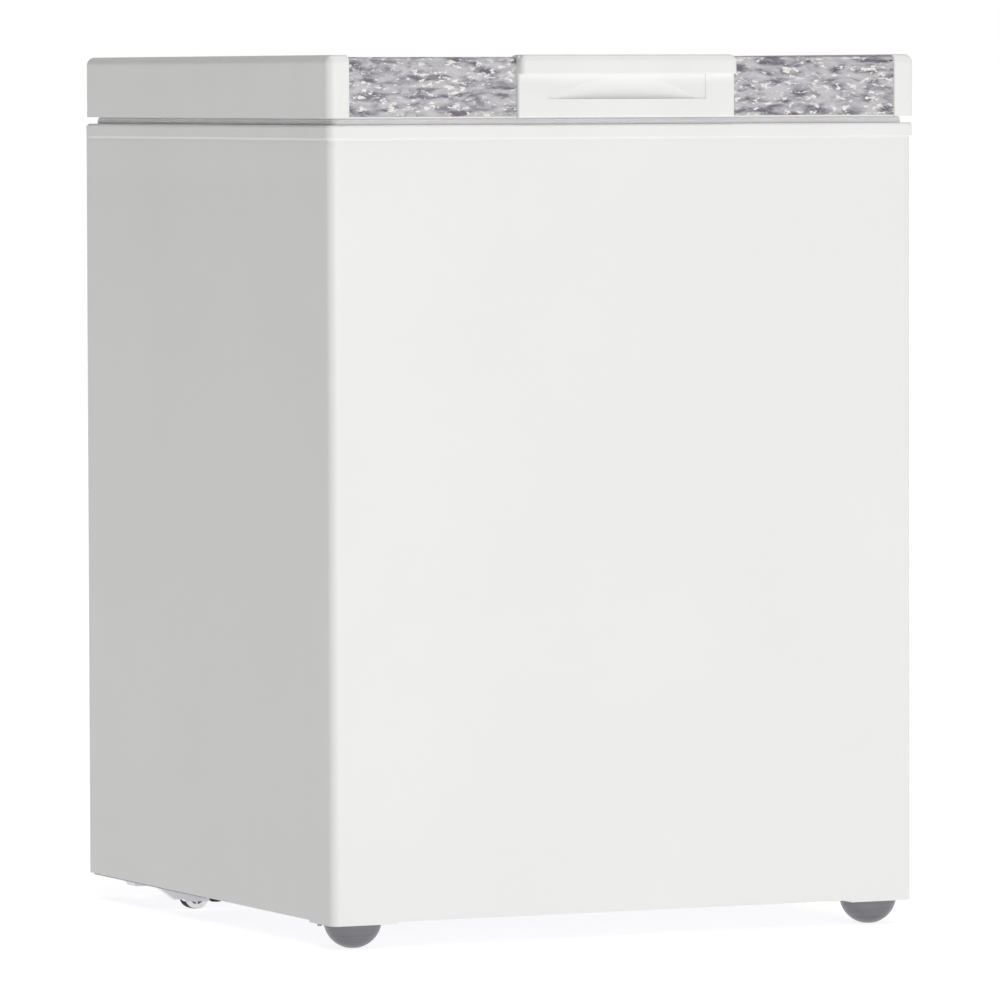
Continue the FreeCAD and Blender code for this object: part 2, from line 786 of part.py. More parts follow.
def make_terminal_cover():
    """Plastic cover over the starter and overload switch on the can's side."""
    x0 = compressor_x - compressor_radius - 22
    z = compressor_base_z() + 34
    cover = box(x0, compressor_x - 40, compressor_y - 30, compressor_y + 30, z, z + 62)
    cover = rounded(cover, 5, lambda e: e.BoundBox.XMax < x0 + 0.01)
    can = rod(compressor_radius, 400, compressor_x, compressor_y, 0)
    weld = rod(compressor_radius + weld_width + 0.2, weld_t + 0.4, compressor_x, compressor_y, weld_z() - 0.2)
    return cover.cut(can).cut(weld)


def make_compressor_grommets():
    """Rubber grommets between the base plate and the compressor's ears."""
    grommets = []
    for x, y, z in compressor_bolt_points(hem_z):
        grommet = rod(grommet_radius, grommet_height, x, y, z)
        neck = rod(grommet_radius - 4, compressor_plate_t + 1, x, y, z + grommet_height)
        cap = rod(grommet_radius - 1, 3, x, y, z + grommet_height + compressor_plate_t + 1)
        bore = rod(bolt_radius, 40, x, y, z - 5)
        grommets.append(grommet.fuse([neck, cap]).cut(bore).removeSplitter())
    return group(grommets)


def make_compressor_bolts():
    bolts = []
    for x, y, z in compressor_bolt_points(plate_low):
        top = hem_z + grommet_height + compressor_plate_t + 4
        shank = rod(bolt_radius, top - z, x, y, z)
        bolts.append(shank.fuse(rod(6, 4, x, y, top)).fuse(rod(5.5, 2.5, x, y, z - 2.5)).removeSplitter())
    return group(bolts)


def can_side(y):
    """How far the can's side stands from its middle at this depth."""
    return math.sqrt(compressor_radius**2 - (y - compressor_y) ** 2)


def make_suction_line():
    """Return tube from the evaporator's end to the compressor's side."""
    x, y = coil_offset("evaporator")[0], tail_y(1)
    z = compressor_base_z() + 90
    end_x = compressor_x + can_side(y) + line_radius * 0.2
    return tube([(x, y, bay_top - 16), (x, y, z), (end_x, y, z)], [24], line_radius)


def make_discharge_line():
    """Hot tube from the compressor's side to the condenser's start."""
    x, y = -coil_offset("condenser")[0], tail_y(1)
    z = compressor_base_z() + 108
    start_x = compressor_x - can_side(y) - condenser_tube * 0.2
    return tube([(start_x, y, z), (x, y, z), (x, y, bay_top - 16)], [24], condenser_tube)


def drier_top():
    return bay_top - 16 - 30


def drier_place():
    return -coil_offset("condenser")[0] + 12, tail_y(0)


def make_filter_drier():
    """Copper cartridge with necked ends between the condenser and the capillary."""
    x, y = drier_place()
    top = drier_top()
    body = rod(drier_radius, drier_length, x, y, top - drier_length)
    neck = Part.makeCone(drier_radius, condenser_tube, 10, vec(x, y, top), vec(0, 0, 1))
    tail = Part.makeCone(drier_radius, capillary_radius, 10, vec(x, y, top - drier_length), vec(0, 0, -1))
    end_x = -coil_offset("condenser")[0]
    link = tube([(end_x, y, bay_top - 16), (end_x, y, bay_top - 20), (x, y, top + 14), (x, y, top + 9)],
                [3, 3], condenser_tube)
    return body.fuse([neck, tail, link]).removeSplitter()


def make_capillary_tube():
    """Thin tube from the drier across the bay to the evaporator's start."""
    x, y = drier_place()
    low = drier_top() - drier_length - 10
    end_x = coil_offset("evaporator")[0]
    top = bay_top - 16
    front = bay_front + 10
    route = [(x, y, low), (x, y, low - 18), (x, front, low - 18), (x, front, top - 12),
             (end_x, front, top - 12), (end_x, tail_y(0), top - 12), (end_x, tail_y(0), top)]
    return tube(route, [8, 10, 12, 12, 10, 6], capillary_radius)


# ---- rear grille, screws, gland ----
def grille_screw_points():
    x = window_half + 15
    zs = (window_low + 14, (window_low + window_high) / 2, window_high - 14)
    return [(side * x, rear_y + 1, z) for side in (-1, 1) for z in zs]


def hinge_screw_points():
    points = []
    spread = hinge_base_width / 2 - hinge_screw_edge
    top = deck_z - hinge_base_drop
    for x in hinge_xs:
        for dx in (-spread, spread):
            for z in (top - hinge_screw_end, top - hinge_base_height + hinge_screw_end):
                points.append((x + dx, rear_y + hinge_plate_t, z))
    return points


def lid_hinge_screw_points():
    z = overall_height - lid_screw_drop
    spread = lid_screw_spread
    return [(x + dx, rear_y + hinge_plate_t, z) for x in hinge_xs for dx in (-spread, spread)]


def gland_place():
    return -half_x + gland_side, rear_y, window_low + gland_rise


def make_rear_grille():
    """Sheet cover on the bay's window with rows of air slots."""
    half = window_half + grille_lap
    plate = box(-half, half, rear_y, rear_y + 1, window_low - 8, window_high + 8)
    plate = rounded(plate, 6, lambda e: e.BoundBox.YLength > 0.9 and e.BoundBox.ZLength < 0.01)
    length = (2 * window_half - (slot_columns + 1) * slot_bridge) / slot_columns
    pitch = (window_high - window_low - 20) / (slot_rows - 1)
    slots = []
    for row in range(slot_rows):
        low = window_low + 10 + row * pitch - slot_height / 2
        for column in range(slot_columns):
            start = -window_half + slot_bridge + column * (length + slot_bridge)
            slots.append(box(start, start + length, rear_y - 1, rear_y + 2, low, low + slot_height))
    plate = plate.cut(group(slots))
    x, y, z = gland_place()
    plate = plate.cut(rod(gland_radius + 6, 10, x, y - 5, z, (0, 1, 0)))
    return drilled(plate, grille_screw_points(), screw_hole, (0, -1, 0), 10)


def make_screw(point, axis, length):
    """Pan head on the surface, with its shank going in along the axis."""
    out = tuple(-value for value in axis)
    shank = rod(screw_radius, length, *point, axis)
    head = rod(screw_head, screw_head_height, *point, out)
    head = head.makeFillet(1.2, [head.Edges[0]])
    return shank.fuse(head).removeSplitter()


def make_cabinet_screws():
    screws = [make_screw(point, (0, -1, 0), 9) for point in grille_screw_points()]
    screws += [make_screw(point, (0, -1, 0), 14) for point in hinge_screw_points()]
    screws += [make_screw(point, (0, 0, 1), 18) for point in foot_screw_points()]
    return group(screws)


def make_cord_gland():
    """Rubber bush where the supply lead enters the bay."""
    x, rear, z = gland_place()
    y = rear - shell_t
    bush = rod(gland_radius, 4, x, y - 1, z, (0, 1, 0))
    bush = bush.fuse(rod(gland_radius + 3, 2, x, y + shell_t, z, (0, 1, 0)))
    bush = bush.fuse(rod(gland_radius + 2, 2, x, y - 2, z, (0, 1, 0)))
    return bush.cut(rod(lead_radius, 30, x, y - 15, z, (0, 1, 0))).removeSplitter()


# ---- controls ----
def control_block(inset, x0, x1):
    """A block on the right side, round-cornered, this far inside the control's outline."""
    half_y = control_width / 2 - inset
    half_z = control_height / 2 - inset
    y, z = control_mid_y, control_z
    block = box(x0, x1, y - half_y, y + half_y, z - half_z, z + half_z)
    return rounded(block, min(8, half_z / 2), is_along_x)


def knob_y():
    return control_mid_y - control_width / 2 + knob_radius + 11


def lamp_y():
    return control_mid_y + control_width / 2 - 18


def make_thermostat_housing():
    """Dished plate in the right side wall with the thermostat's switch body behind."""
    back = half_x - dish_depth - 2
    rim = control_block(0, half_x, half_x + 1.6)
    tray = control_block(dish_rim, back, half_x)
    switch = box(back - 28, back, knob_y() - 16, knob_y() + 16, control_z - 14, control_z + 14)
    dish = control_block(dish_rim + 2, half_x - dish_depth, half_x + 5)
    housing = rim.fuse([tray, switch]).cut(dish)
    shaft = rod(spindle_radius + pin_clearance, 20, back - 10, knob_y(), control_z, (1, 0, 0))
    lamp = rod(lamp_radius, 20, half_x - 20, lamp_y(), control_z, (1, 0, 0))
    return housing.cut(shaft).cut(lamp).removeSplitter()


def make_thermostat_knob():
    """Turning knob with a pointer ridge and a short spindle."""
    face = half_x - dish_depth + side_gap
    knob = rod(knob_radius, knob_depth, face, knob_y(), control_z, (1, 0, 0))
    knob = knob.makeFillet(1.2, [knob.Edges[0]])
    for side in (-1, 1):
        z0, z1 = sorted((control_z + side * 3.2, control_z + side * (knob_radius + 1)))
        scoop = box(face + 5, face + 30, knob_y() - 30, knob_y() + 30, z0, z1)
        knob = knob.cut(scoop)
    spindle = rod(spindle_radius, 12, face - 10, knob_y(), control_z, (1, 0, 0))
    return knob.fuse(spindle).removeSplitter()


def make_pilot_lens():
    face = half_x - dish_depth
    lens = rod(lamp_radius, 8, face - 4, lamp_y(), control_z, (1, 0, 0))
    return lens.fuse(rod(lamp_radius + 1.5, 2, face, lamp_y(), control_z, (1, 0, 0))).removeSplitter()


# ---- drain ----
def make_drain_tube():
    """Tube from the tub's floor to below the cabinet."""
    x, y = drain_x, front_y + drain_back
    top = liner_floor_z - liner_t
    return rod(drain_radius, top - plate_low, x, y, plate_low).cut(rod(drain_bore, 200, x, y, 0))


def make_drain_plug():
    """Rubber plug that pulls up out of the tub's floor."""
    x, y = drain_x, front_y + drain_back
    cap = rod(13, 4, x, y, liner_floor_z + 0.2)
    cap = cap.makeFillet(1.5, [cap.Edges[0]])
    stem = rod(drain_bore - 0.3, 15, x, y, liner_floor_z - 14)
    tab = box(x - 6, x + 6, y - 1.5, y + 1.5, liner_floor_z + 4, liner_floor_z + 14)
    return cap.fuse([stem, tab]).removeSplitter()


# ---- basket ----
def basket_block(shrink, z0, z1):
    x1 = liner_half - collar_t - 4 - shrink
    x0 = x1 - basket_x + 2 * shrink
    y0 = liner_front + collar_t + 4 + shrink
    y1 = liner_back - collar_t - 4 - shrink
    block = box(x0, x1, y0, y1, z0, z1)
    return rounded(block, basket_corner - shrink, is_vertical)


def slot_places(start, end):
    """Middles of the slots between two corners of the basket, evenly spaced."""
    room = end - start - 2 * basket_corner - basket_slot
    count = int(room / basket_slot_pitch)
    return [start + basket_corner + basket_slot / 2 + room * index / count for index in range(count + 1)]


def make_storage_basket():
    """Slotted basket that hangs across the tub on two hooked rims."""
    top = lid_z - plug_drop - basket_gap
    floor = top - basket_depth
    basket = basket_block(0, floor, top).cut(basket_block(basket_wall, floor + basket_wall, top + 1))
    bounds = basket.BoundBox
    slots = []
    low, high = floor + basket_border, top - basket_border - 8
    for x in slot_places(bounds.XMin, bounds.XMax):
        x0, x1 = x - basket_slot / 2, x + basket_slot / 2
        slots.append(box(x0, x1, bounds.YMin - 1, bounds.YMax + 1, low, high))
        slots.append(box(x0, x1, bounds.YMin + 30, bounds.YMax - 30, floor - 1, floor + 9))
    for y in slot_places(bounds.YMin, bounds.YMax):
        y0, y1 = y - basket_slot / 2, y + basket_slot / 2
        slots.append(box(bounds.XMin - 1, bounds.XMax + 1, y0, y1, low, high))
    basket = basket.cut(group(slots))
    x0, x1 = bounds.XMin + 30, bounds.XMax - 30
    hooks = []
    for end, sign in ((bounds.YMin, -1), (bounds.YMax, 1)):
        near, far = sorted((end - sign * basket_wall, end + sign * 14))
        hooks.append(box(x0, x1, near, far, collar_top, collar_top + 2.2))
        near, far = sorted((end, end - sign * basket_wall))
        hooks.append(box(x0, x1, near, far, top - 2, collar_top + 2.2))
    return basket.fuse(hooks).removeSplitter()


# ---- lid ----
def make_lid_rail(side):
    """Side rail moulding: top, outer side, underside and two end walls."""
    outer = side * lid_half
    inner = side * (lid_half - rail_width)
    x0, x1 = sorted((outer, inner))
    block = box(x0, x1, lid_front, rear_y, lid_z, overall_height)
    block = rounded(block, 8.5, lambda e: is_vertical(e) and abs(e.BoundBox.XMin - outer) < 0.01)
    block = rounded(block, 8.0, lambda e: e.BoundBox.ZMin > lid_z + 8 and abs(e.BoundBox.XMax - outer) < 9
                    and abs(e.BoundBox.XMin - inner) > 1 and e.BoundBox.ZMin > overall_height - 0.01)
    block = rounded(block, rail_inner_radius, lambda e: abs(e.BoundBox.XMin - inner) < 0.01
                    and abs(e.BoundBox.XMax - inner) < 0.01 and e.BoundBox.ZMin > overall_height - 0.01)
    hx0, hx1 = sorted((outer - side * rail_wall, inner - side))
    hollow = box(hx0, hx1, lid_front + rail_wall, rear_y - rail_wall,
                 lid_z + lid_liner_t, overall_height - rail_wall)
    wall_x = outer - side * rail_wall
    hollow = rounded(hollow, 5.5, lambda e: is_vertical(e) and abs(e.BoundBox.XMin - wall_x) < 0.01)
    return block.cut(hollow)


def sheet_section(inset, bend):
    """The bent sheet's outline in Y and Z, as a solid block with a rounded upper front edge."""
    block = box(-sheet_half, sheet_half, sheet_front + inset, rear_y - rear_rail_depth,
                lid_z + lid_liner_t + 0.3, sheet_top - inset)
    return rounded(block, bend, lambda e: is_along_x(e) and e.BoundBox.ZMin > sheet_top - inset - 1
                   and e.BoundBox.YMin < sheet_front + inset + 1)


def make_lid_sheet():
    """Patterned sheet over the lid's top and front, bent at the upper front edge."""
    outer = sheet_section(0, sheet_bend)
    inner = sheet_section(sheet_t, sheet_bend - sheet_t)
    inner = inner.fuse(box(-sheet_half - 1, sheet_half + 1, sheet_front + sheet_t, rear_y, 0, lid_z + 20))
    sheet = outer.cut(inner)
    return sheet.cut(grip_box_block(0.3))


def make_lid_rear_rail():
    """Rear closing rail between the side rails."""
    inner = lid_half - rail_width
    block = box(-inner, inner, rear_y - rear_rail_depth, rear_y, lid_z, overall_height)
    block = rounded(block, 6, lambda e: is_along_x(e) and e.BoundBox.ZMin > overall_height - 1
                    and e.BoundBox.YMin > rear_y - 1)
    hollow = box(-inner - 1, inner + 1, rear_y - rear_rail_depth - 1, rear_y - rail_wall,
                 lid_z + lid_liner_t, overall_height - rail_wall)
    rail = block.cut(hollow)
    return drilled(rail, lid_hinge_screw_points(), screw_hole, (0, -1, 0), 12)


def lid_plug(shrink, z1):
    """The lid liner's plug: a block that tapers towards its lower face."""
    top_half = lid_half - plug_inset - shrink
    y0 = lid_front + plug_inset + shrink
    y1 = rear_y - plug_inset + overhang - shrink
    low = lid_z - plug_drop + shrink

    def outline(inset, z):
        points = [(-top_half + inset, y0 + inset), (top_half - inset, y0 + inset),
                  (top_half - inset, y1 - inset), (-top_half + inset, y1 - inset)]
        return Part.makePolygon([vec(x, y, z) for x, y in points + points[:1]])

    plug = Part.makeLoft([outline(plug_taper, low), outline(0, lid_z)], True, True)
    plug = rounded(plug, 18 - shrink, lambda e: e.BoundBox.ZLength > 10)
    plug = rounded(plug, 5 - shrink, lambda e: e.BoundBox.ZMax < low + 0.01)
    if z1 > lid_z:
        plug = plug.fuse(corner_rounded_block(top_half, y0, y1, lid_z, z1, 18 - shrink))
    return plug


def make_lid_liner():
    """White inner lid sheet with a plug that reaches into the tub."""
    inner = lid_half - rail_width
    border = box(-inner, inner, sheet_front, rear_y - rear_rail_depth, lid_z, lid_z + lid_liner_t)
    liner = border.fuse(lid_plug(0, lid_z))
    return liner.cut(lid_plug(lid_liner_t, lid_z + lid_liner_t)).removeSplitter()


def make_lid_foam():
    """Foam core of the lid, down into the plug."""
    inner = lid_half - rail_width
    low = lid_z + lid_liner_t
    top = sheet_top - sheet_t
    core = box(-inner, inner, sheet_front + sheet_t, rear_y - rear_rail_depth, low, top)
    core = rounded(core, sheet_bend - sheet_t, lambda e: is_along_x(e) and e.BoundBox.ZMin > top - 1
                   and e.BoundBox.YMin < sheet_front + 2)
    tail = box(-inner, inner, rear_y - rear_rail_depth, rear_y - rail_wall, low, overall_height - rail_wall)
    parts = [tail, lid_plug(lid_liner_t, low)]
    for side in (-1, 1):
        x0, x1 = sorted((side * inner, side * (lid_half - rail_wall)))
        wing = box(x0, x1, lid_front + rail_wall, rear_y - rail_wall, low, overall_height - rail_wall)
        edge_x = side * (lid_half - rail_wall)
        parts.append(rounded(wing, 5.5, lambda e: is_vertical(e) and abs(e.BoundBox.XMin - edge_x) < 0.01))
    foam = core.fuse(parts)
    lap = box(-sheet_half, sheet_half, sheet_front, rear_y - rear_rail_depth, top, sheet_top)
    foam = foam.cut(lap).cut(grip_box_block(0.3))
    foam = drilled(foam, lid_hinge_screw_points(), screw_hole, (0, -1, 0), 16)
    return foam.removeSplitter()


def gasket_frame(inset, z0, z1, slope):
    """A rectangular block whose sides lean in towards the top."""
    def outline(extra, z):
        half = lid_half - inset - extra
        y0 = lid_front + inset + extra
        y1 = rear_y - inset - extra + overhang
        return Part.makePolygon([vec(x, y, z) for x, y in
                                 ((-half, y0), (half, y0), (half, y1), (-half, y1), (-half, y0))])
    return Part.makeLoft([outline(0, z0), outline(slope, z1)], True, True)


def make_lid_gasket():
    """Soft seal under the lid's edge."""
    low = collar_top + gasket_clearance
    outer = rounded(gasket_frame(gasket_inset, low, lid_z, 2.0), 7, lambda e: e.BoundBox.ZLength > 4)
    inner = rounded(gasket_frame(gasket_inset + gasket_width, low - 1, lid_z + 1, 0.0), 4, is_vertical)
    ring = outer.cut(inner)
    relief = box(-lid_half, lid_half, rear_y - gasket_inset - 30, rear_y - gasket_inset, low - 5, low)
    return ring.cut(relief)


# ---- handle ----
def plate_front():
    return lid_front - handle_plate_t


def grip_box_block(grow):
    """The bowl of the grip, behind the lid's front sheet."""
    half = grip_width / 2 + grip_wall + grow
    low = lid_z + grip_low - grip_wall - grow
    high = overall_height - brow_height + grip_wall + grow
    back = plate_front() + grip_depth + grip_wall + grow
    return box(-half, half, sheet_front - 1, back, low, high)


def grip_scoop():
    """The recess: a shallow tray with a leaning hollow, deepest in the middle of its lower edge."""
    half = grip_width / 2
    low = lid_z + grip_low
    high = overall_height - brow_height
    face = plate_front()
    tray = box(-half, half, face - 1, face + grip_rim, low, high)
    tray = rounded(tray, 1.2, lambda e: is_vertical(e) and e.BoundBox.YMin > face)
    hollow_radius = (half**2 + grip_depth**2) / (2 * grip_depth)
    lean = math.atan2(grip_depth - grip_rim, high - low)
    axis = vec(0, -math.sin(lean), math.cos(lean))
    inward = vec(0, math.cos(lean), math.sin(lean))
    start = vec(0, face + grip_depth, low) - inward * hollow_radius - axis * 100
    hollow = Part.makeCylinder(hollow_radius, 200, start, axis)
    slab = box(-half, half, face - 1, face + grip_depth + 5, low, high)
    return tray.fuse(hollow.common(slab)).removeSplitter()


def make_handle():
    """Pull handle: front plate, brow above the grip, bowl behind it and a flange on the lid's top."""
    half = handle_width / 2
    top = overall_height
    brow_front = front_y - handle_reach
    plate = box(-half, half, plate_front(), sheet_front, lid_z - handle_lift, top - 1)
    plate = rounded(plate, 2.2, lambda e: e.BoundBox.YMax < plate_front() + 0.01)
    brow = box(-half, half, brow_front, sheet_front + handle_flange, top - brow_height, top)
    brow = rounded(brow, brow_end_radius, lambda e: is_vertical(e) and e.BoundBox.YMax < front_y)
    brow = rounded(brow, brow_radius, lambda e: e.BoundBox.ZMin > top - 0.01 and e.BoundBox.YMin < front_y
                   and e.BoundBox.YMax < brow_front + brow_end_radius + 0.1)
    brow = rounded(brow, brow_under_radius, lambda e: e.BoundBox.ZMax < top - brow_height + 0.01
                   and e.BoundBox.YMax < brow_front + brow_end_radius + 0.1)
    lid_body = box(-half - 1, half + 1, sheet_front, sheet_front + 60, lid_z, sheet_top)
    handle = plate.fuse([brow.cut(lid_body), grip_box_block(0)])
    return handle.cut(grip_scoop()).removeSplitter()


def make_lid_screws():
    return group([make_screw(point, (0, -1, 0), 14) for point in lid_hinge_screw_points()])


# ---- hinges ----
def make_hinge_bases():
    """Plates on the rear panel, each with two knuckle ears."""
    bases = []
    top = deck_z - hinge_base_drop
    for x in hinge_xs:
        half = hinge_base_width / 2
        plate = box(x - half, x + half, rear_y, rear_y + hinge_plate_t, top - hinge_base_height, top)
        plate = rounded(plate, 5, lambda e: e.BoundBox.YLength > 1.5 and e.BoundBox.ZLength < 0.01
                        and e.BoundBox.XLength < 0.01)
        parts = []
        for side in (-1, 1):
            start = hinge_arm_width / 2 + side_gap
            x0, x1 = sorted((x + side * start, x + side * (start + hinge_ear_t)))
            web = prism_x([(rear_y, top - 70), (rear_y, top), (pivot_y - knuckle_radius, pivot_z),
                           (pivot_y + knuckle_radius, pivot_z), (pivot_y + 4, top - 20)], x0, x1)
            knuckle = rod(knuckle_radius, hinge_ear_t, x0, pivot_y, pivot_z, (1, 0, 0))
            parts += [web, knuckle]
        base = plate.fuse(parts)
        base = base.cut(rod(pin_radius, 200, x - 100, pivot_y, pivot_z, (1, 0, 0)))
        bases.append(drilled(base, hinge_screw_points(), screw_hole, (0, -1, 0), 12).removeSplitter())
    return group(bases)


def make_hinge_arms():
    """Straps on the lid's rear rail that turn on the pins."""
    arms = []
    low = pivot_z + 6
    ear_top = overall_height - lid_screw_drop - screw_head - 1
    for x in hinge_xs:
        half = hinge_arm_width / 2
        strap = box(x - half, x + half, rear_y, rear_y + hinge_plate_t, low, overall_height - hinge_arm_drop)
        for side in (-1, 1):
            x0, x1 = sorted((x + side * half, x + side * (half - hinge_arm_ear_t)))
            ear = prism_x([(rear_y, low), (rear_y, ear_top), (rear_y + 5, ear_top - 4),
                           (pivot_y + knuckle_radius, pivot_z + 2), (pivot_y + knuckle_radius, pivot_z),
                           (pivot_y - knuckle_radius, pivot_z)], x0, x1)
            strap = strap.fuse([ear, rod(knuckle_radius, hinge_arm_ear_t, x0, pivot_y, pivot_z, (1, 0, 0))])
        bore = rod(pin_radius + pin_clearance, 200, x - 100, pivot_y, pivot_z, (1, 0, 0))
        strap = drilled(strap.cut(bore), lid_hinge_screw_points(), screw_hole, (0, -1, 0), 12)
        arms.append(strap.removeSplitter())
    return group(arms)


def make_hinge_pins():
    """Steel pins held by the bases' ears."""
    pins = []
    length = hinge_arm_width + 2 * (side_gap + hinge_ear_t) + 4
    for x in hinge_xs:
        pin = rod(pin_radius, length, x - length / 2, pivot_y, pivot_z, (1, 0, 0))
        pins.append(pin.fuse(rod(pin_radius + 1.6, 1.8, x - length / 2 - 1.8, pivot_y, pivot_z, (1, 0, 0))))
    return group([pin.removeSplitter() for pin in pins])


def make_hinge_springs():
    """Counterbalance springs round the pins, shown as stacked closed coils."""
    springs = []
    turns = 7
    pitch = 2 * spring_wire + 0.15
    for x in hinge_xs:
        start = x - pitch * turns / 2
        coil = rod(spring_radius, pitch * turns, start, pivot_y, pivot_z, (1, 0, 0))
        coil = coil.cut(rod(pin_radius, 200, x - 100, pivot_y, pivot_z, (1, 0, 0)))
        for turn in range(1, turns):
            groove = Part.makeTorus(spring_radius + 0.2, 0.7, vec(start + turn * pitch, pivot_y, pivot_z),
                                    vec(1, 0, 0))
            coil = coil.cut(groove)
        springs.append(coil)
    return group(springs)


def write(name, shape):
    shape.exportStep("parts/" + name + ".step")
    print(name, "valid", shape.isValid(), "solids", len(shape.Solids), "cm3", round(shape.Volume / 1000, 2))


def write_cabinet():
    write("outer_shell", make_outer_shell())
    write("rear_panel", make_rear_panel())
    write("bottom_panel", make_bottom_panel())
    write("bay_wall", make_bay_wall())
    write("rear_base_plate", make_rear_base_plate())
    write("inner_liner", make_inner_liner())
    write("cabinet_foam", make_cabinet_foam())
    write("evaporator_coil", make_coil("evaporator", evaporator_tube, 1))
    write("condenser_coil", make_coil("condenser", condenser_tube, -1))
    write("top_collar", make_top_collar())
    write("rear_grille", make_rear_grille())
    write("cabinet_screws", make_cabinet_screws())
    write("cord_gland", make_cord_gland())
    write("thermostat_housing", make_thermostat_housing())
    write("thermostat_knob", make_thermostat_knob())
    write("pilot_lens", make_pilot_lens())
    write("drain_tube", make_drain_tube())
    write("drain_plug", make_drain_plug())
    write("storage_basket", make_storage_basket())


def write_running_gear():
    write("foot_plates", make_foot_plates())
    write("foot_nuts", make_foot_nuts())
    write("roller_brackets", make_roller_brackets())
    write("rear_rests", make_rear_rests())
    write("bracket_rivets", make_bracket_rivets())
    write("roller_axles", make_roller_axles())
    write("rubber_stops", make_rubber_stops())
    for hand, side in (("left", -1), ("right", 1)):
        write("foot_dome_" + hand, make_foot_dome(side))
        write("foot_stud_" + hand, make_foot_stud(side))
        write("roller_core_" + hand, make_roller_core(side * roller_x))
        write("roller_tyre_" + hand, make_roller_tyre(side * roller_x))


def write_refrigeration():
    write("compressor_shell", make_compressor_shell())
    write("compressor_motor", make_compressor_motor())
    write("terminal_cover", make_terminal_cover())
    write("compressor_grommets", make_compressor_grommets())
    write("compressor_bolts", make_compressor_bolts())
    write("suction_line", make_suction_line())
    write("discharge_line", make_discharge_line())
    write("filter_drier", make_filter_drier())
    write("capillary_tube", make_capillary_tube())


def write_lid():
    write("lid_rail_left", make_lid_rail(-1))
    write("lid_rail_right", make_lid_rail(1))
    write("lid_sheet", make_lid_sheet())
    write("lid_rear_rail", make_lid_rear_rail())
    write("lid_liner", make_lid_liner())
    write("lid_foam", make_lid_foam())
    write("lid_gasket", make_lid_gasket())
    write("handle", make_handle())
    write("lid_screws", make_lid_screws())
    write("hinge_bases", make_hinge_bases())
    write("hinge_arms", make_hinge_arms())
    write("hinge_pins", make_hinge_pins())
    write("hinge_springs", make_hinge_springs())


write_cabinet()
write_running_gear()
write_refrigeration()
write_lid()
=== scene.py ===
import math

import bmesh
import bpy
from mathutils import Matrix, Vector


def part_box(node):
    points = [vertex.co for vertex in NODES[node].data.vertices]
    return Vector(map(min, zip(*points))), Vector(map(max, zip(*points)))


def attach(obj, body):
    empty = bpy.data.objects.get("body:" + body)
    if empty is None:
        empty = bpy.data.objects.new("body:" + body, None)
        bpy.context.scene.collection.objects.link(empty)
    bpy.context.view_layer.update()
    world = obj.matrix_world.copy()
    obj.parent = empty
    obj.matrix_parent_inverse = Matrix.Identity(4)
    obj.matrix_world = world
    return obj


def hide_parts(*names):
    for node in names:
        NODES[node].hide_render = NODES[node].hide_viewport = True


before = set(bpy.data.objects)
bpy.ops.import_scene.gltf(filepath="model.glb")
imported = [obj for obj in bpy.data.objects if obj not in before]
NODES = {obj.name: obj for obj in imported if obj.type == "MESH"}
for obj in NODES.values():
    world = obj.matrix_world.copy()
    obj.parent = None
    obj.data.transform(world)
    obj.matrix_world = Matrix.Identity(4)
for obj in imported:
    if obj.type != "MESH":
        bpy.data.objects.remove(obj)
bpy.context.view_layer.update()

bl_info = {
    "name": "Chest freezer",
    "version": (1, 0, 0),
    "blender": (4, 5, 0),
    "location": "3D View > Sidebar > Freezer",
    "description": "Finishes and fine pieces for a foamed steel chest freezer",
    "category": "Object",
}

MM = 0.001


# ---- colours, nodes and materials ----
def linear(code):
    """An sRGB hex colour as linear red, green, blue and alpha."""
    values = [int(code[i:i + 2], 16) / 255 for i in (0, 2, 4)]
    return tuple(v / 12.92 if v <= 0.04045 else ((v + 0.055) / 1.055) ** 2.4 for v in values) + (1.0,)


def add(tree, kind, settings=None, **inputs):
    """Add a node, set its properties, and set or link its inputs by name or index."""
    node = tree.nodes.new(kind)
    for name, value in (settings or {}).items():
        setattr(node, name, value)
    for name, value in inputs.items():
        socket = node.inputs[int(name[1:])] if name[0] == "i" and name[1:].isdigit() else \
            node.inputs[name.replace("_", " ")]
        if isinstance(value, bpy.types.NodeSocket):
            tree.links.new(value, socket)
        else:
            socket.default_value = value
    return node


def new_material(name, **shader_inputs):
    """A material with one Principled shader; returns it, its tree and its shader."""
    material = bpy.data.materials.new(name)
    material.use_nodes = True
    tree = material.node_tree
    tree.nodes.clear()
    shader = add(tree, "ShaderNodeBsdfPrincipled", **shader_inputs)
    add(tree, "ShaderNodeOutputMaterial", Surface=shader.outputs[0])
    return material, tree, shader


def object_space(tree, scale=(1, 1, 1), turn=(0, 0, 0), place=(0, 0, 0)):
    """Object coordinates through a mapping."""
    coordinates = add(tree, "ShaderNodeTexCoord").outputs["Object"]
    return add(tree, "ShaderNodeMapping", Vector=coordinates, Scale=scale, Rotation=turn,
               Location=place).outputs[0]


def grain(tree, size_mm, detail=2.0, rough=0.5, where=None, distortion=0.0):
    """Noise whose features are about this many millimetres across."""
    where = where or object_space(tree)
    return add(tree, "ShaderNodeTexNoise", Vector=where, Scale=1 / (size_mm * MM), Detail=detail,
               Roughness=rough, Distortion=distortion).outputs["Fac"]


def spread(tree, value, low, high):
    """Map a 0 to 1 value to a range."""
    return add(tree, "ShaderNodeMapRange", Value=value, To_Min=low, To_Max=high).outputs[0]


def relief(tree, shader, height, depth_mm, strength=1.0):
    """Bump the shader's normal by a height map of this depth."""
    bump = add(tree, "ShaderNodeBump", Height=height, Distance=depth_mm * MM, Strength=strength)
    tree.links.new(bump.outputs[0], shader.inputs["Normal"])


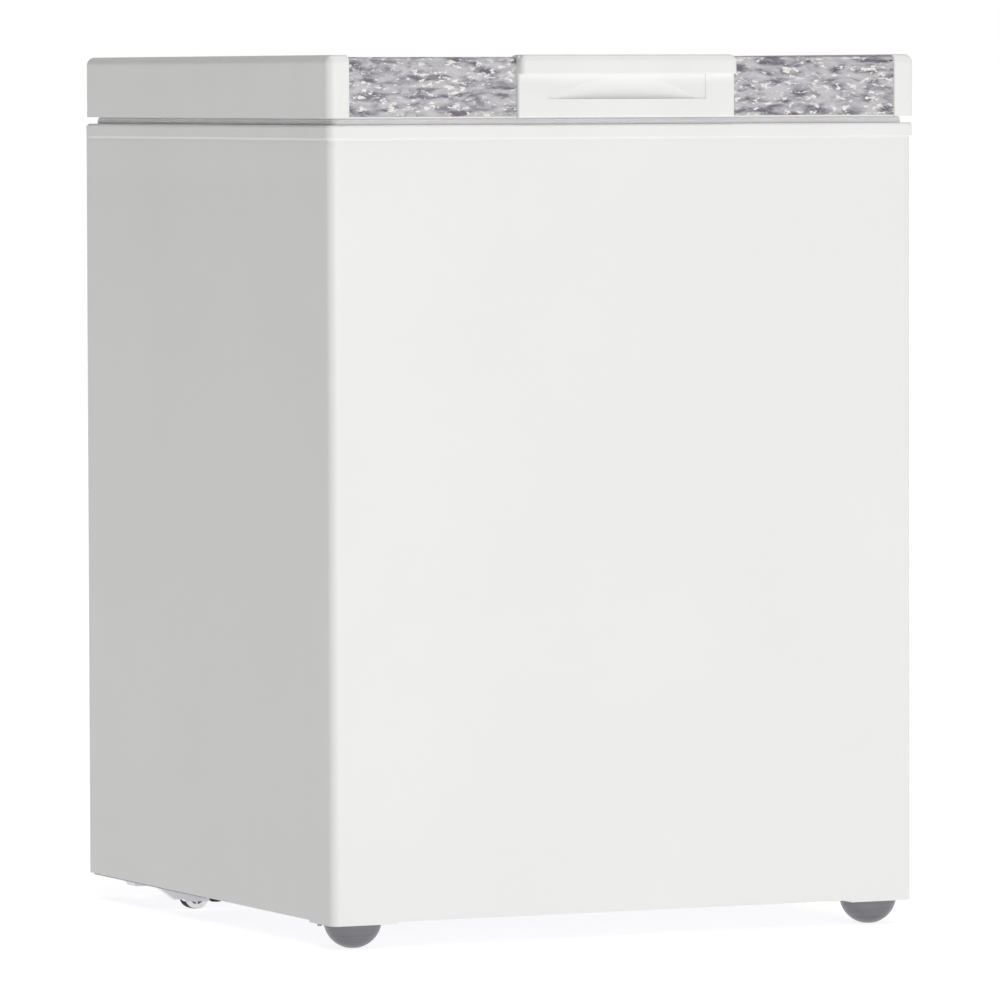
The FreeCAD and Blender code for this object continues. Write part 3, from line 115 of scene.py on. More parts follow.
def ramp(tree, value, stops, mode="LINEAR"):
    """A colour ramp of (position, hex) stops."""
    node = add(tree, "ShaderNodeValToRGB", Fac=value)
    node.color_ramp.interpolation = mode
    elements = node.color_ramp.elements
    while len(elements) < len(stops):
        elements.new(0.5)
    for element, (position, code) in zip(elements, stops):
        element.position = position
        element.color = linear(code)
    return node.outputs[0]


def tint(tree, shader, value, dark, light):
    """Base colour that wanders between two hex colours."""
    tree.links.new(ramp(tree, value, ((0.25, dark), (0.75, light))), shader.inputs["Base Color"])


def powder_coated_steel():
    """Steel sheet, sprayed with white powder and baked: an even sheen with faint orange peel."""
    material, tree, shader = new_material("powder_coated_steel", IOR=1.5)
    tint(tree, shader, grain(tree, 180, 3), "ECECEB", "EFEFEE")
    tree.links.new(spread(tree, grain(tree, 60, 3), 0.34, 0.42), shader.inputs["Roughness"])
    relief(tree, shader, grain(tree, 2.2, 2), 0.012, 0.35)
    return material


def moulded_abs():
    """White ABS moulded in a spark-eroded tool: a fine dull grain and faint flow marks."""
    material, tree, shader = new_material("moulded_abs", IOR=1.53)
    tint(tree, shader, grain(tree, 90, 2), "ECECEA", "F0F0EF")
    tree.links.new(spread(tree, grain(tree, 25, 3), 0.36, 0.46), shader.inputs["Roughness"])
    relief(tree, shader, grain(tree, 0.9, 3, 0.6), 0.02, 0.3)
    return material


def printed_laminate():
    """Steel sheet with a film printed like stone, rolled flat: long dark clouds and short pale flecks."""
    material, tree, shader = new_material("printed_laminate", IOR=1.5, Roughness=0.38)
    along = object_space(tree, (0.32, 1, 1))
    clouds = grain(tree, 8, 4, 0.6, along, 0.4)
    stops = ((0.36, "68636F"), (0.44, "918E96"), (0.51, "B3B1B6"), (0.62, "C6C4C7"))
    stone = ramp(tree, clouds, stops)
    chips = grain(tree, 3.4, 2, 0.6, object_space(tree, (0.45, 1, 1), (0, 0, 0), (3, 7, 5)), 0.3)
    pale = add(tree, "ShaderNodeMapRange", Value=chips, From_Min=0.56, From_Max=0.66).outputs[0]
    colour = add(tree, "ShaderNodeMix", {"data_type": "RGBA"}, i0=pale, i6=stone, i7=linear("EEEBE5"))
    tree.links.new(colour.outputs[2], shader.inputs["Base Color"])
    relief(tree, shader, grain(tree, 1.2, 2), 0.01, 0.3)
    return material


def hot_dip_galvanised():
    """Steel dipped in zinc: crystal spangles about a centimetre across, bluish grey."""
    material, tree, shader = new_material("hot_dip_galvanised", Metallic=1.0)
    space = object_space(tree)
    cells = add(tree, "ShaderNodeTexVoronoi", Vector=space, Scale=1 / (9 * MM))
    value = add(tree, "ShaderNodeSeparateColor", Color=cells.outputs["Color"]).outputs[0]
    tint(tree, shader, value, "9A9BAA", "B7B8C6")
    tree.links.new(spread(tree, value, 0.34, 0.52), shader.inputs["Roughness"])
    relief(tree, shader, grain(tree, 3, 3, 0.6, space), 0.01, 0.4)
    return material


def zinc_plate():
    """Steel with a bright zinc plate: clean silver with fine drawing marks."""
    material, tree, shader = new_material("zinc_plate", Metallic=1.0)
    tint(tree, shader, grain(tree, 6, 3), "B8B8B8", "CFCFCE")
    tree.links.new(spread(tree, grain(tree, 1.5, 3), 0.24, 0.4), shader.inputs["Roughness"])
    relief(tree, shader, grain(tree, 0.8, 2), 0.006, 0.3)
    return material


def spun_steel():
    """Stainless steel dome, pressed and polished: grey, with faint rings left by the polishing."""
    material, tree, shader = new_material("spun_steel", Metallic=1.0)
    rings = grain(tree, 1.0, 3, 0.6, object_space(tree, (0.02, 0.02, 1)))
    tint(tree, shader, rings, "717175", "828287")
    tree.links.new(spread(tree, rings, 0.28, 0.36), shader.inputs["Roughness"])
    relief(tree, shader, rings, 0.004, 0.25)
    return material


def stove_enamel():
    """Black stove enamel on the compressor's can: deep, a little uneven, half gloss."""
    material, tree, shader = new_material("stove_enamel", IOR=1.5)
    tint(tree, shader, grain(tree, 20, 3), "121214", "1D1D1F")
    tree.links.new(spread(tree, grain(tree, 12, 3), 0.25, 0.45), shader.inputs["Roughness"])
    relief(tree, shader, grain(tree, 2.5, 3), 0.03, 0.4)
    return material


def drawn_copper():
    """Drawn copper tube, dulled by handling: pink brown with darker stains."""
    material, tree, shader = new_material("drawn_copper", Metallic=1.0)
    tint(tree, shader, grain(tree, 14, 4, 0.6), "9A5C40", "D08C68")
    tree.links.new(spread(tree, grain(tree, 6, 3), 0.25, 0.5), shader.inputs["Roughness"])
    relief(tree, shader, grain(tree, 1.0, 2), 0.005, 0.3)
    return material


def black_rubber(name, size_mm, low, high):
    """Moulded black rubber: matt, with a dusty bloom in patches."""
    material, tree, shader = new_material(name, IOR=1.52)
    tint(tree, shader, grain(tree, size_mm * 6, 3), low, high)
    tree.links.new(spread(tree, grain(tree, size_mm * 3, 3), 0.65, 0.9), shader.inputs["Roughness"])
    relief(tree, shader, grain(tree, size_mm, 3), 0.03, 0.5)
    return material


def epdm_rubber():
    """Black EPDM for bushes, stops and grommets, moulded."""
    return black_rubber("epdm_rubber", 1.2, "141415", "222223")


def tread_rubber():
    """Nitrile rubber of the roller treads, moulded, scuffed lighter where it rolls."""
    return black_rubber("tread_rubber", 0.8, "18181A", "2C2C2E")


def soft_pvc():
    """Light grey plasticised PVC of the seal and the drain plug, extruded: dull and a little waxy."""
    material, tree, shader = new_material("soft_pvc", IOR=1.52, Subsurface_Weight=0.08,
                                          Subsurface_Scale=0.002)
    tint(tree, shader, grain(tree, 30, 2), "E9E9EB", "F0F0F2")
    tree.links.new(spread(tree, grain(tree, 8, 2), 0.5, 0.62), shader.inputs["Roughness"])
    relief(tree, shader, grain(tree, 1.5, 2), 0.01, 0.3)
    return material


def polypropylene():
    """White polypropylene of the basket, moulded: slightly see-through and waxy."""
    material, tree, shader = new_material("polypropylene", IOR=1.49, Subsurface_Weight=0.25,
                                          Subsurface_Scale=0.004)
    tint(tree, shader, grain(tree, 60, 2), "EDEDEB", "F3F3F2")
    tree.links.new(spread(tree, grain(tree, 20, 2), 0.32, 0.42), shader.inputs["Roughness"])
    relief(tree, shader, grain(tree, 1.2, 2), 0.01, 0.3)
    return material


def stucco_aluminium():
    """Aluminium sheet rolled with a stucco emboss: bright worm-like dents about 4 mm long."""
    material, tree, shader = new_material("stucco_aluminium", Metallic=1.0)
    dents = grain(tree, 4.0, 1, 0.4, None, 1.6)
    tint(tree, shader, grain(tree, 40, 3), "C9CBCD", "DCDDDF")
    tree.links.new(spread(tree, dents, 0.28, 0.4), shader.inputs["Roughness"])
    relief(tree, shader, dents, 0.35, 0.6)
    return material


def polyurethane_foam():
    """Rigid polyurethane foam, poured in place: cream yellow with small open cells where it is cut."""
    material, tree, shader = new_material("polyurethane_foam", IOR=1.45, Roughness=0.9)
    space = object_space(tree)
    cells = add(tree, "ShaderNodeTexVoronoi", Vector=space, Scale=1 / (1.6 * MM)).outputs["Distance"]
    tint(tree, shader, cells, "D9C48E", "EBDDB4")
    relief(tree, shader, cells, 0.4, 0.6)
    return material


def motor_laminations():
    """Stacked steel laminations and cast iron of the motor and pump: fine level lines, oily grey."""
    material, tree, shader = new_material("motor_laminations", Metallic=1.0)
    sheets = grain(tree, 0.6, 1, 0.5, object_space(tree, (0.01, 0.01, 1)))
    tint(tree, shader, sheets, "4A4846", "6E6C69")
    tree.links.new(spread(tree, sheets, 0.35, 0.6), shader.inputs["Roughness"])
    relief(tree, shader, sheets, 0.05, 0.5)
    return material


def green_acrylic():
    """Clear green acrylic lamp lens, moulded and polished."""
    material, tree, shader = new_material("green_acrylic", IOR=1.49, Transmission_Weight=0.55)
    tint(tree, shader, grain(tree, 3, 1), "1FA347", "36BE5C")
    tree.links.new(spread(tree, grain(tree, 2, 1), 0.06, 0.12), shader.inputs["Roughness"])
    return material


def coloured_plastic(name, low, high):
    """Moulded plastic with a fine dull grain."""
    material, tree, shader = new_material(name, IOR=1.53)
    tint(tree, shader, grain(tree, 30, 2), low, high)
    tree.links.new(spread(tree, grain(tree, 12, 2), 0.4, 0.55), shader.inputs["Roughness"])
    relief(tree, shader, grain(tree, 0.8, 3), 0.02, 0.4)
    return material


def black_polyamide():
    """Black polyamide of the terminal cover, moulded."""
    return coloured_plastic("black_polyamide", "151516", "1E1E20")


def grey_abs():
    """Light grey ABS of the thermostat's plate, moulded."""
    return coloured_plastic("grey_abs", "BFC1C5", "C9CBCE")


def studio_floor():
    """Matt white acrylic sheet that the freezer stands on, lit evenly from below as well."""
    material, tree, shader = new_material("studio_floor", Roughness=0.9, Emission_Color=(1, 1, 1, 1),
                                          Emission_Strength=0.84)
    tint(tree, shader, grain(tree, 400, 2), "949494", "979797")
    return material


FINISHES = {
    powder_coated_steel: ["outer_shell", "foot_plates"],
    moulded_abs: ["top_collar", "lid_rail_left", "lid_rail_right", "lid_rear_rail", "lid_liner", "handle",
                  "thermostat_knob", "drain_tube", "roller_brackets", "rear_rests",
                  "roller_core_left", "roller_core_right"],
    printed_laminate: ["lid_sheet"],
    hot_dip_galvanised: ["rear_panel", "bottom_panel", "bay_wall", "rear_base_plate", "rear_grille"],
    zinc_plate: ["foot_nuts", "bracket_rivets", "roller_axles", "compressor_bolts", "hinge_bases",
                 "hinge_arms", "hinge_pins", "condenser_coil"],
    stucco_aluminium: ["inner_liner", "evaporator_coil"],
    polyurethane_foam: ["cabinet_foam", "lid_foam"],
    stove_enamel: ["compressor_shell"],
    motor_laminations: ["compressor_motor"],
    drawn_copper: ["suction_line", "discharge_line", "filter_drier", "capillary_tube"],
    epdm_rubber: ["cord_gland", "rubber_stops", "compressor_grommets"],
    soft_pvc: ["drain_plug"],
    polypropylene: ["storage_basket"],
    green_acrylic: ["pilot_lens"],
    black_polyamide: ["terminal_cover"],
    grey_abs: ["thermostat_housing"],
}
_made = {}


def finish_of(maker):
    """The material that a maker function gives, made once."""
    if maker not in _made:
        _made[maker] = maker()
    return _made[maker]


# ---- meshes ----
def new_piece(name, verts, faces, maker, body, replaces=(), smooth=True):
    """A mesh piece in the frame, with its finish, body and replaced nodes."""
    mesh = bpy.data.meshes.new(name)
    mesh.from_pydata([tuple(v) for v in verts], [], faces)
    mesh.validate()
    piece = bpy.data.objects.new(name, mesh)
    bpy.context.scene.collection.objects.link(piece)
    tidy_mesh(mesh, smooth)
    settle(piece, maker, body, replaces)
    return piece


def tidy_mesh(mesh, smooth=True, angle=35):
    """Merge doubles, point the faces outwards, and smooth all but the sharp edges."""
    work = bmesh.new()
    work.from_mesh(mesh)
    bmesh.ops.remove_doubles(work, verts=work.verts, dist=0.01 * MM)
    bmesh.ops.recalc_face_normals(work, faces=work.faces)
    for face in work.faces:
        face.smooth = smooth
    for edge in work.edges:
        edge.smooth = len(edge.link_faces) == 2 and edge.calc_face_angle(0) < math.radians(angle)
    work.to_mesh(mesh)
    work.free()


def settle(piece, maker, body, replaces):
    """Give a piece its finish, its body and what it stands for."""
    piece.data.materials.clear()
    piece.data.materials.append(finish_of(maker))
    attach(piece, body)
    if replaces:
        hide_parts(*replaces)


def lathe(profile, centre, steps=64, axis="Z"):
    """Turn a closed (radius, height) outline about an axis through the centre."""
    verts, faces = [], []
    count = len(profile)
    for step in range(steps):
        turn = 2 * math.pi * step / steps
        for radius, height in profile:
            x, y = radius * math.cos(turn), radius * math.sin(turn)
            local = (x, y, height) if axis == "Z" else (x, height, y)
            verts.append(Vector(centre) + Vector(local))
    for step in range(steps):
        after = (step + 1) % steps
        for i in range(count):
            j = (i + 1) % count
            faces.append((step * count + i, step * count + j, after * count + j, after * count + i))
    return verts, faces


def islands(node):
    """The boxes of a CAD node's separate solids, as (low, high) corners."""
    work = bmesh.new()
    work.from_mesh(NODES[node].data)
    bmesh.ops.remove_doubles(work, verts=work.verts, dist=0.005 * MM)
    left = set(work.verts)
    boxes = []
    while left:
        stack = [left.pop()]
        group = []
        while stack:
            vert = stack.pop()
            group.append(vert.co.copy())
            for edge in vert.link_edges:
                other = edge.other_vert(vert)
                if other in left:
                    left.remove(other)
                    stack.append(other)
        low = Vector([min(c[i] for c in group) for i in range(3)])
        high = Vector([max(c[i] for c in group) for i in range(3)])
        boxes.append((low, high))
    work.free()
    return boxes


# ---- geometry nodes ----
def new_tree(name, inputs):
    """A geometry node tree with a geometry input and output and named number inputs."""
    tree = bpy.data.node_groups.new(name, "GeometryNodeTree")
    tree.interface.new_socket("Geometry", in_out="INPUT", socket_type="NodeSocketGeometry")
    for label, kind, value in inputs:
        socket = tree.interface.new_socket(label, in_out="INPUT", socket_type=kind)
        if value is not None:
            socket.default_value = value
    tree.interface.new_socket("Geometry", in_out="OUTPUT", socket_type="NodeSocketGeometry")
    return tree, tree.nodes.new("NodeGroupInput")


def end_tree(tree, instances, material_socket):
    """Realize the instances, set the material and put out the result."""
    real = add(tree, "GeometryNodeRealizeInstances", Geometry=instances)
    done = add(tree, "GeometryNodeSetMaterial", Geometry=real.outputs[0], Material=material_socket)
    add(tree, "NodeGroupOutput", Geometry=done.outputs[0])


def grown(name, tree, points, values, maker, body, replaces=(), angle=35):
    """Run a geometry node tree on a cloud of points and keep the result as a plain mesh."""
    seed = bpy.data.meshes.new(name + "_points")
    seed.from_pydata([tuple(p) for p in points], [], [])
    piece = bpy.data.objects.new(name, seed)
    bpy.context.scene.collection.objects.link(piece)
    modifier = piece.modifiers.new("pattern", "NODES")
    modifier.node_group = tree
    values = dict(values, Material=finish_of(maker))
    for item in tree.interface.items_tree:
        if item.in_out == "INPUT" and item.name in values:
            modifier[item.identifier] = values[item.name]
    bpy.context.view_layer.update()
    graph = bpy.context.evaluated_depsgraph_get()
    mesh = bpy.data.meshes.new_from_object(piece.evaluated_get(graph))
    piece.modifiers.clear()
    piece.data = mesh
    if not mesh.polygons:
        raise RuntimeError(name + " came out empty")
    tidy_mesh(mesh, True, angle)
    settle(piece, maker, body, replaces)
    return piece


def screw_tree():
    """A pan head with a cross recess and a shank, one at each point."""
    number = "NodeSocketFloat"
    tree, source = new_tree("pan_head_screws", [
        ("Head radius", number, 0.004), ("Head height", number, 0.0022), ("Shank radius", number, 0.002),
        ("Shank length", number, 0.012), ("Turn", "NodeSocketVector", None),
        ("Material", "NodeSocketMaterial", None)])
    out = source.outputs
    head = add(tree, "GeometryNodeMeshUVSphere", Segments=32, Rings=16, Radius=1.0)
    flat = add(tree, "ShaderNodeCombineXYZ", X=out["Head radius"], Y=out["Head radius"], Z=out["Head height"])
    head = add(tree, "GeometryNodeTransform", Geometry=head.outputs[0], Scale=flat.outputs[0])
    wide = add(tree, "ShaderNodeMath", {"operation": "MULTIPLY"}, i0=out["Head radius"], i1=3.0)
    under = add(tree, "ShaderNodeMath", {"operation": "MULTIPLY"}, i0=wide.outputs[0], i1=-0.5)
    block = add(tree, "ShaderNodeCombineXYZ", X=wide.outputs[0], Y=wide.outputs[0], Z=wide.outputs[0])
    block = add(tree, "GeometryNodeMeshCube", Size=block.outputs[0])
    lower = add(tree, "ShaderNodeCombineXYZ", Z=under.outputs[0])
    block = add(tree, "GeometryNodeTransform", Geometry=block.outputs[0], Translation=lower.outputs[0])
    blade_long = add(tree, "ShaderNodeMath", {"operation": "MULTIPLY"}, i0=out["Head radius"], i1=1.1)
    blade_thin = add(tree, "ShaderNodeMath", {"operation": "MULTIPLY"}, i0=out["Head radius"], i1=0.22)
    lift = add(tree, "ShaderNodeCombineXYZ", Z=out["Head height"])
    cutters = [block.outputs[0]]
    for first, second in ((blade_long, blade_thin), (blade_thin, blade_long)):
        size = add(tree, "ShaderNodeCombineXYZ", X=first.outputs[0], Y=second.outputs[0], Z=out["Head height"])
        blade = add(tree, "GeometryNodeMeshCube", Size=size.outputs[0])
        blade = add(tree, "GeometryNodeTransform", Geometry=blade.outputs[0], Translation=lift.outputs[0])
        cutters.append(blade.outputs[0])
    cut = head.outputs[0]
    for cutter in cutters:
        cut = add(tree, "GeometryNodeMeshBoolean", {"operation": "DIFFERENCE"}, i0=cut, i1=cutter).outputs[0]
    shank = add(tree, "GeometryNodeMeshCylinder", Vertices=20, Radius=out["Shank radius"],
                Depth=out["Shank length"])
    drop = add(tree, "ShaderNodeMath", {"operation": "MULTIPLY"}, i0=out["Shank length"], i1=-0.5)
    drop = add(tree, "ShaderNodeCombineXYZ", Z=drop.outputs[0])
    shank = add(tree, "GeometryNodeTransform", Geometry=shank.outputs[0], Translation=drop.outputs[0])
    join = add(tree, "GeometryNodeJoinGeometry")
    tree.links.new(cut, join.inputs[0])
    tree.links.new(shank.outputs[0], join.inputs[0])
    turned = add(tree, "GeometryNodeTransform", Geometry=join.outputs[0], Rotation=out["Turn"])
    spots = add(tree, "GeometryNodeInstanceOnPoints", Points=out["Geometry"], Instance=turned.outputs[0])
    end_tree(tree, spots.outputs[0], out["Material"])
    return tree


def spring_tree():
    """A round-wire helix along X at each point."""
    number = "NodeSocketFloat"
    tree, source = new_tree("torsion_springs", [
        ("Coil radius", number, 0.005), ("Wire radius", number, 0.0012), ("Length", number, 0.018),
        ("Turns", number, 7.0), ("Material", "NodeSocketMaterial", None)])
    out = source.outputs
    helix = add(tree, "GeometryNodeCurveSpiral", Resolution=28, Rotations=out["Turns"],
                Start_Radius=out["Coil radius"], End_Radius=out["Coil radius"], Height=out["Length"])
    ring = add(tree, "GeometryNodeCurvePrimitiveCircle", Resolution=12, Radius=out["Wire radius"])
    wire = add(tree, "GeometryNodeCurveToMesh", Curve=helix.outputs[0], Profile_Curve=ring.outputs[0],
               Fill_Caps=True)
    half = add(tree, "ShaderNodeMath", {"operation": "MULTIPLY"}, i0=out["Length"], i1=-0.5)
    shift = add(tree, "ShaderNodeCombineXYZ", Z=half.outputs[0])
    wire = add(tree, "GeometryNodeTransform", Geometry=wire.outputs[0], Translation=shift.outputs[0])
    wire = add(tree, "GeometryNodeTransform", Geometry=wire.outputs[0], Rotation=(0, math.pi / 2, 0))
    spots = add(tree, "GeometryNodeInstanceOnPoints", Points=out["Geometry"], Instance=wire.outputs[0])
    end_tree(tree, spots.outputs[0], out["Material"])
    return tree


def louvre_tree():
    """A pressed hood over each air slot: a half tube with closed ends."""
    number = "NodeSocketFloat"
    tree, source = new_tree("louvre_hoods", [
        ("Width", number, 0.12), ("Hood radius", number, 0.003), ("Material", "NodeSocketMaterial", None)])
    out = source.outputs
    hood = add(tree, "GeometryNodeMeshCylinder", Vertices=24, Radius=out["Hood radius"], Depth=out["Width"])
    hood = add(tree, "GeometryNodeTransform", Geometry=hood.outputs[0], Rotation=(0, math.pi / 2, 0))
    inner = add(tree, "ShaderNodeMath", {"operation": "MULTIPLY"}, i0=out["Hood radius"], i1=0.78)
    short = add(tree, "ShaderNodeMath", {"operation": "SUBTRACT"}, i0=out["Width"], i1=0.002)
    core = add(tree, "GeometryNodeMeshCylinder", Vertices=24, Radius=inner.outputs[0], Depth=short.outputs[0])
    core = add(tree, "GeometryNodeTransform", Geometry=core.outputs[0], Rotation=(0, math.pi / 2, 0))
    big = add(tree, "ShaderNodeMath", {"operation": "MULTIPLY"}, i0=out["Hood radius"], i1=4.0)
    away = add(tree, "ShaderNodeMath", {"operation": "MULTIPLY"}, i0=out["Hood radius"], i1=-2.0)
    long = add(tree, "ShaderNodeMath", {"operation": "MULTIPLY"}, i0=out["Width"], i1=2.0)
    size = add(tree, "ShaderNodeCombineXYZ", X=long.outputs[0], Y=big.outputs[0], Z=big.outputs[0])
    block = add(tree, "GeometryNodeMeshCube", Size=size.outputs[0])
    front = add(tree, "ShaderNodeCombineXYZ", Y=away.outputs[0])
    below = add(tree, "ShaderNodeCombineXYZ", Z=away.outputs[0])
    cut = hood.outputs[0]
    cut = add(tree, "GeometryNodeMeshBoolean", {"operation": "DIFFERENCE"}, i0=cut, i1=core.outputs[0]).outputs[0]
    for shift in (front, below):
        moved = add(tree, "GeometryNodeTransform", Geometry=block.outputs[0], Translation=shift.outputs[0])
        cut = add(tree, "GeometryNodeMeshBoolean", {"operation": "DIFFERENCE"},
                  i0=cut, i1=moved.outputs[0]).outputs[0]
    spots = add(tree, "GeometryNodeInstanceOnPoints", Points=out["Geometry"], Instance=cut)
    end_tree(tree, spots.outputs[0], out["Material"])
    return tree


# ---- pieces ----
def arc(centre_r, centre_z, radius, start, end, steps):
    """Points of an arc in the (radius, height) plane, angles in degrees."""
    points = []
    for step in range(steps + 1):
        turn = math.radians(start + (end - start) * step / steps)
        points.append((centre_r + radius * math.cos(turn), centre_z + radius * math.sin(turn)))
    return points


def build_dome(hand):
    """A pressed dome foot: outer and inner skins, a rolled rim and a boss for the stud."""
    node = "foot_dome_" + hand
    low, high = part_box(node)
    radius = (high.x - low.x) / 2
    middle = ((low.x + high.x) / 2, (low.y + high.y) / 2, 0.0)
    wall = 1.5 * MM
    flat = 6.0 * MM
    centre_z = math.sqrt(radius**2 - flat**2)
    rim = high.z
    outer_end = math.degrees(math.asin((rim - centre_z) / radius))
    outer_start = -math.degrees(math.acos(flat / radius))
    outer = arc(0, centre_z, radius, outer_start, outer_end, 28)
    lip = [(outer[-1][0] - wall * 0.5, rim)]
    inner_radius = radius - wall
    inner_end = math.degrees(math.asin((rim - centre_z) / inner_radius))
    boss = 9.0 * MM
    inner_start = -math.degrees(math.acos(boss / inner_radius))
    inner = arc(0, centre_z, inner_radius, inner_end, inner_start, 20)
    boss_top = 12.5 * MM
    bore = 4.05 * MM
    inside = [(boss, boss_top - 0.8 * MM), (boss - 0.8 * MM, boss_top), (bore, boss_top), (bore, 3.0 * MM)]
    profile = [(0.0, 0.0)] + outer + lip + inner + inside + [(0.0, 3.0 * MM)]
    verts, faces = lathe(profile, middle, 96)
    return new_piece("dome_foot_" + hand, verts, faces, spun_steel, "foot_" + hand, [node])


def build_stud(hand):
    """A stud with a real thread, a chamfered top and a screwdriver slot left to the top view."""
    node = "foot_stud_" + hand
    low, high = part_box(node)
    radius = (high.x - low.x) / 2
    x, y = (low.x + high.x) / 2, (low.y + high.y) / 2
    pitch = 1.25 * MM
    depth = 0.68 * MM
    around = 24
    per_pitch = 6
    rows = int((high.z - low.z) / pitch * per_pitch)
    verts, faces = [], []
    for row in range(rows + 1):
        z = low.z + (high.z - low.z) * row / rows
        ends = min(1.0, (z - low.z) / (1.2 * MM), (high.z - z) / (1.2 * MM))
        for step in range(around):
            wave = abs(((z / pitch - step / around) % 1.0) * 2 - 1)
            r = (radius - depth * wave) * (0.86 + 0.14 * ends)
            turn = 2 * math.pi * step / around
            verts.append((x + r * math.cos(turn), y + r * math.sin(turn), z))
    for row in range(rows):
        for step in range(around):
            after = (step + 1) % around
            a, b = row * around + step, row * around + after
            faces.append((a, b, b + around, a + around))
    faces.append(tuple(reversed(range(around))))
    faces.append(tuple(range(rows * around, (rows + 1) * around)))
    return new_piece("threaded_stud_" + hand, verts, faces, zinc_plate, "stud_" + hand, [node])


def build_tread(hand):
    """A rubber tread with three ribs round it."""
    node = "roller_tyre_" + hand
    low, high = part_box(node)
    radius = (high.x - low.x) / 2
    inner = radius - 3.0 * MM
    middle = ((low.x + high.x) / 2, 0.0, (low.z + high.z) / 2)
    y0, y1 = low.y, high.y
    groove = 0.7 * MM
    width = y1 - y0
    profile = [(inner, y0), (radius - 1.2 * MM, y0), (radius - 0.4 * MM, y0 + 0.4 * MM),
               (radius, y0 + 1.2 * MM)]
    for share in (0.33, 0.66):
        y = y0 + width * share
        profile += [(radius, y - 0.8 * MM), (radius - groove, y - 0.5 * MM),
                    (radius - groove, y + 0.5 * MM), (radius, y + 0.8 * MM)]
    profile += [(radius, y1 - 1.2 * MM), (radius - 0.4 * MM, y1 - 0.4 * MM), (radius - 1.2 * MM, y1), (inner, y1)]
    verts, faces = lathe(profile, middle, 72, "Y")
    return new_piece("tread_" + hand, verts, faces, tread_rubber, "roller_" + hand, [node])


def rounded_path(x_half, y0, y1, radius, steps=6):
    """Points and outward directions round a rectangle with rounded corners."""
    corners = [(x_half, y0, -90), (x_half, y1, 0), (-x_half, y1, 90), (-x_half, y0, 180)]
    path = []
    for x, y, start in corners:
        cx = x - math.copysign(radius, x)
        cy = y + radius if y == y0 else y - radius
        for step in range(steps + 1):
            turn = math.radians(start + 90 * step / steps)
            out = (math.cos(turn), math.sin(turn))
            path.append(((cx + radius * out[0], cy + radius * out[1]), out))
    return path


def build_seal():
    """The lid's seal: a bellows section with a magnet bulb below and a dart above."""
    low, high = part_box("lid_gasket")
    top, base = high.z, low.z
    bulb = 0.9 * MM
    section = [(0.6, 0.0), (0.0, 0.15), (0.0, 0.5), (0.9, 0.62), (0.35, 0.74), (1.6, 0.9), (2.2, 1.0),
               (22.0, 1.0), (22.8, 0.9), (23.6, 0.74), (23.0, 0.62), (24.0, 0.5), (24.0, 0.15), (23.4, 0.0)]
    path = rounded_path(high.x, low.y, high.y, 7 * MM)
    verts, faces = [], []
    for (x, y), out in path:
        for depth, share in section:
            inset = depth * MM
            verts.append((x - out[0] * inset, y - out[1] * inset, base + (top - base) * share))
    count, rings = len(section), len(path)
    for ring in range(rings):
        after = (ring + 1) % rings
        for i in range(count):
            j = (i + 1) % count
            faces.append((ring * count + i, after * count + i, after * count + j, ring * count + j))
    return new_piece("lid_seal", verts, faces, soft_pvc, "lid", ["lid_gasket"])


def screw_sets():
    """The screws of a node, sorted by the way their heads face."""
    sets = {}
    for node in ("cabinet_screws", "lid_screws"):
        for low, high in islands(node):
            size = high - low
            upright = size.z > size.y
            middle = (low + high) / 2
            if upright:
                seat, turn, length = low.z + 2.2 * MM, (math.pi, 0, 0), size.z - 2.2 * MM
                point = (middle.x, middle.y, seat)
            else:
                seat, turn, length = high.y - 2.2 * MM, (-math.pi / 2, 0, 0), size.y - 2.2 * MM
                point = (middle.x, seat, middle.z)
            sets.setdefault((node, upright, round(length * 1000, 1)), (turn, []))[1].append(point)
    return sets


# ---- settings, operators and panel ----
class FreezerSettings(bpy.types.PropertyGroup):
    """Sizes and lights that a user may change."""
    spring_turns: bpy.props.FloatProperty(
        name="Spring turns", description="Turns of each hinge spring", default=7.0, min=2.0, max=12.0)
    spring_wire: bpy.props.FloatProperty(
        name="Spring wire", description="Radius of the spring wire", default=1.0 * MM, unit="LENGTH")
    head_radius: bpy.props.FloatProperty(
        name="Screw head", description="Radius of a screw's head", default=4.0 * MM, unit="LENGTH")
    head_height: bpy.props.FloatProperty(
        name="Screw head height", description="Height of a screw's head", default=2.2 * MM, unit="LENGTH")
    shank_radius: bpy.props.FloatProperty(
        name="Screw shank", description="Radius of a screw's shank", default=2.0 * MM, unit="LENGTH")
    hood_radius: bpy.props.FloatProperty(
        name="Louvre hood", description="How far a louvre stands out", default=3.2 * MM, unit="LENGTH")
    room_level: bpy.props.FloatProperty(
        name="Room light", description="Brightness of the room's front and right", default=0.4)
    shade_level: bpy.props.FloatProperty(
        name="Shade light", description="Brightness of the room's back and left", default=0.0)
    top_level: bpy.props.FloatProperty(
        name="Top light", description="Strength of the light from above", default=1.6)
    front_power: bpy.props.FloatProperty(
        name="Front light", description="Power of the softbox in front, in watts", default=55.0)


class FREEZER_OT_finishes(bpy.types.Operator):
    """Give every CAD piece its finish"""
    bl_idname = "freezer.finishes"
    bl_label = "Finishes"

    def execute(self, context):
        for maker, nodes in FINISHES.items():
            for node in nodes:
                for slot in NODES[node].material_slots:
                    slot.material = finish_of(maker)
        return {"FINISHED"}


class FREEZER_OT_feet(bpy.types.Operator):
    """Make the dome feet and their threaded studs"""
    bl_idname = "freezer.feet"
    bl_label = "Feet"

    def execute(self, context):
        for hand in ("left", "right"):
            build_dome(hand)
            build_stud(hand)
        return {"FINISHED"}


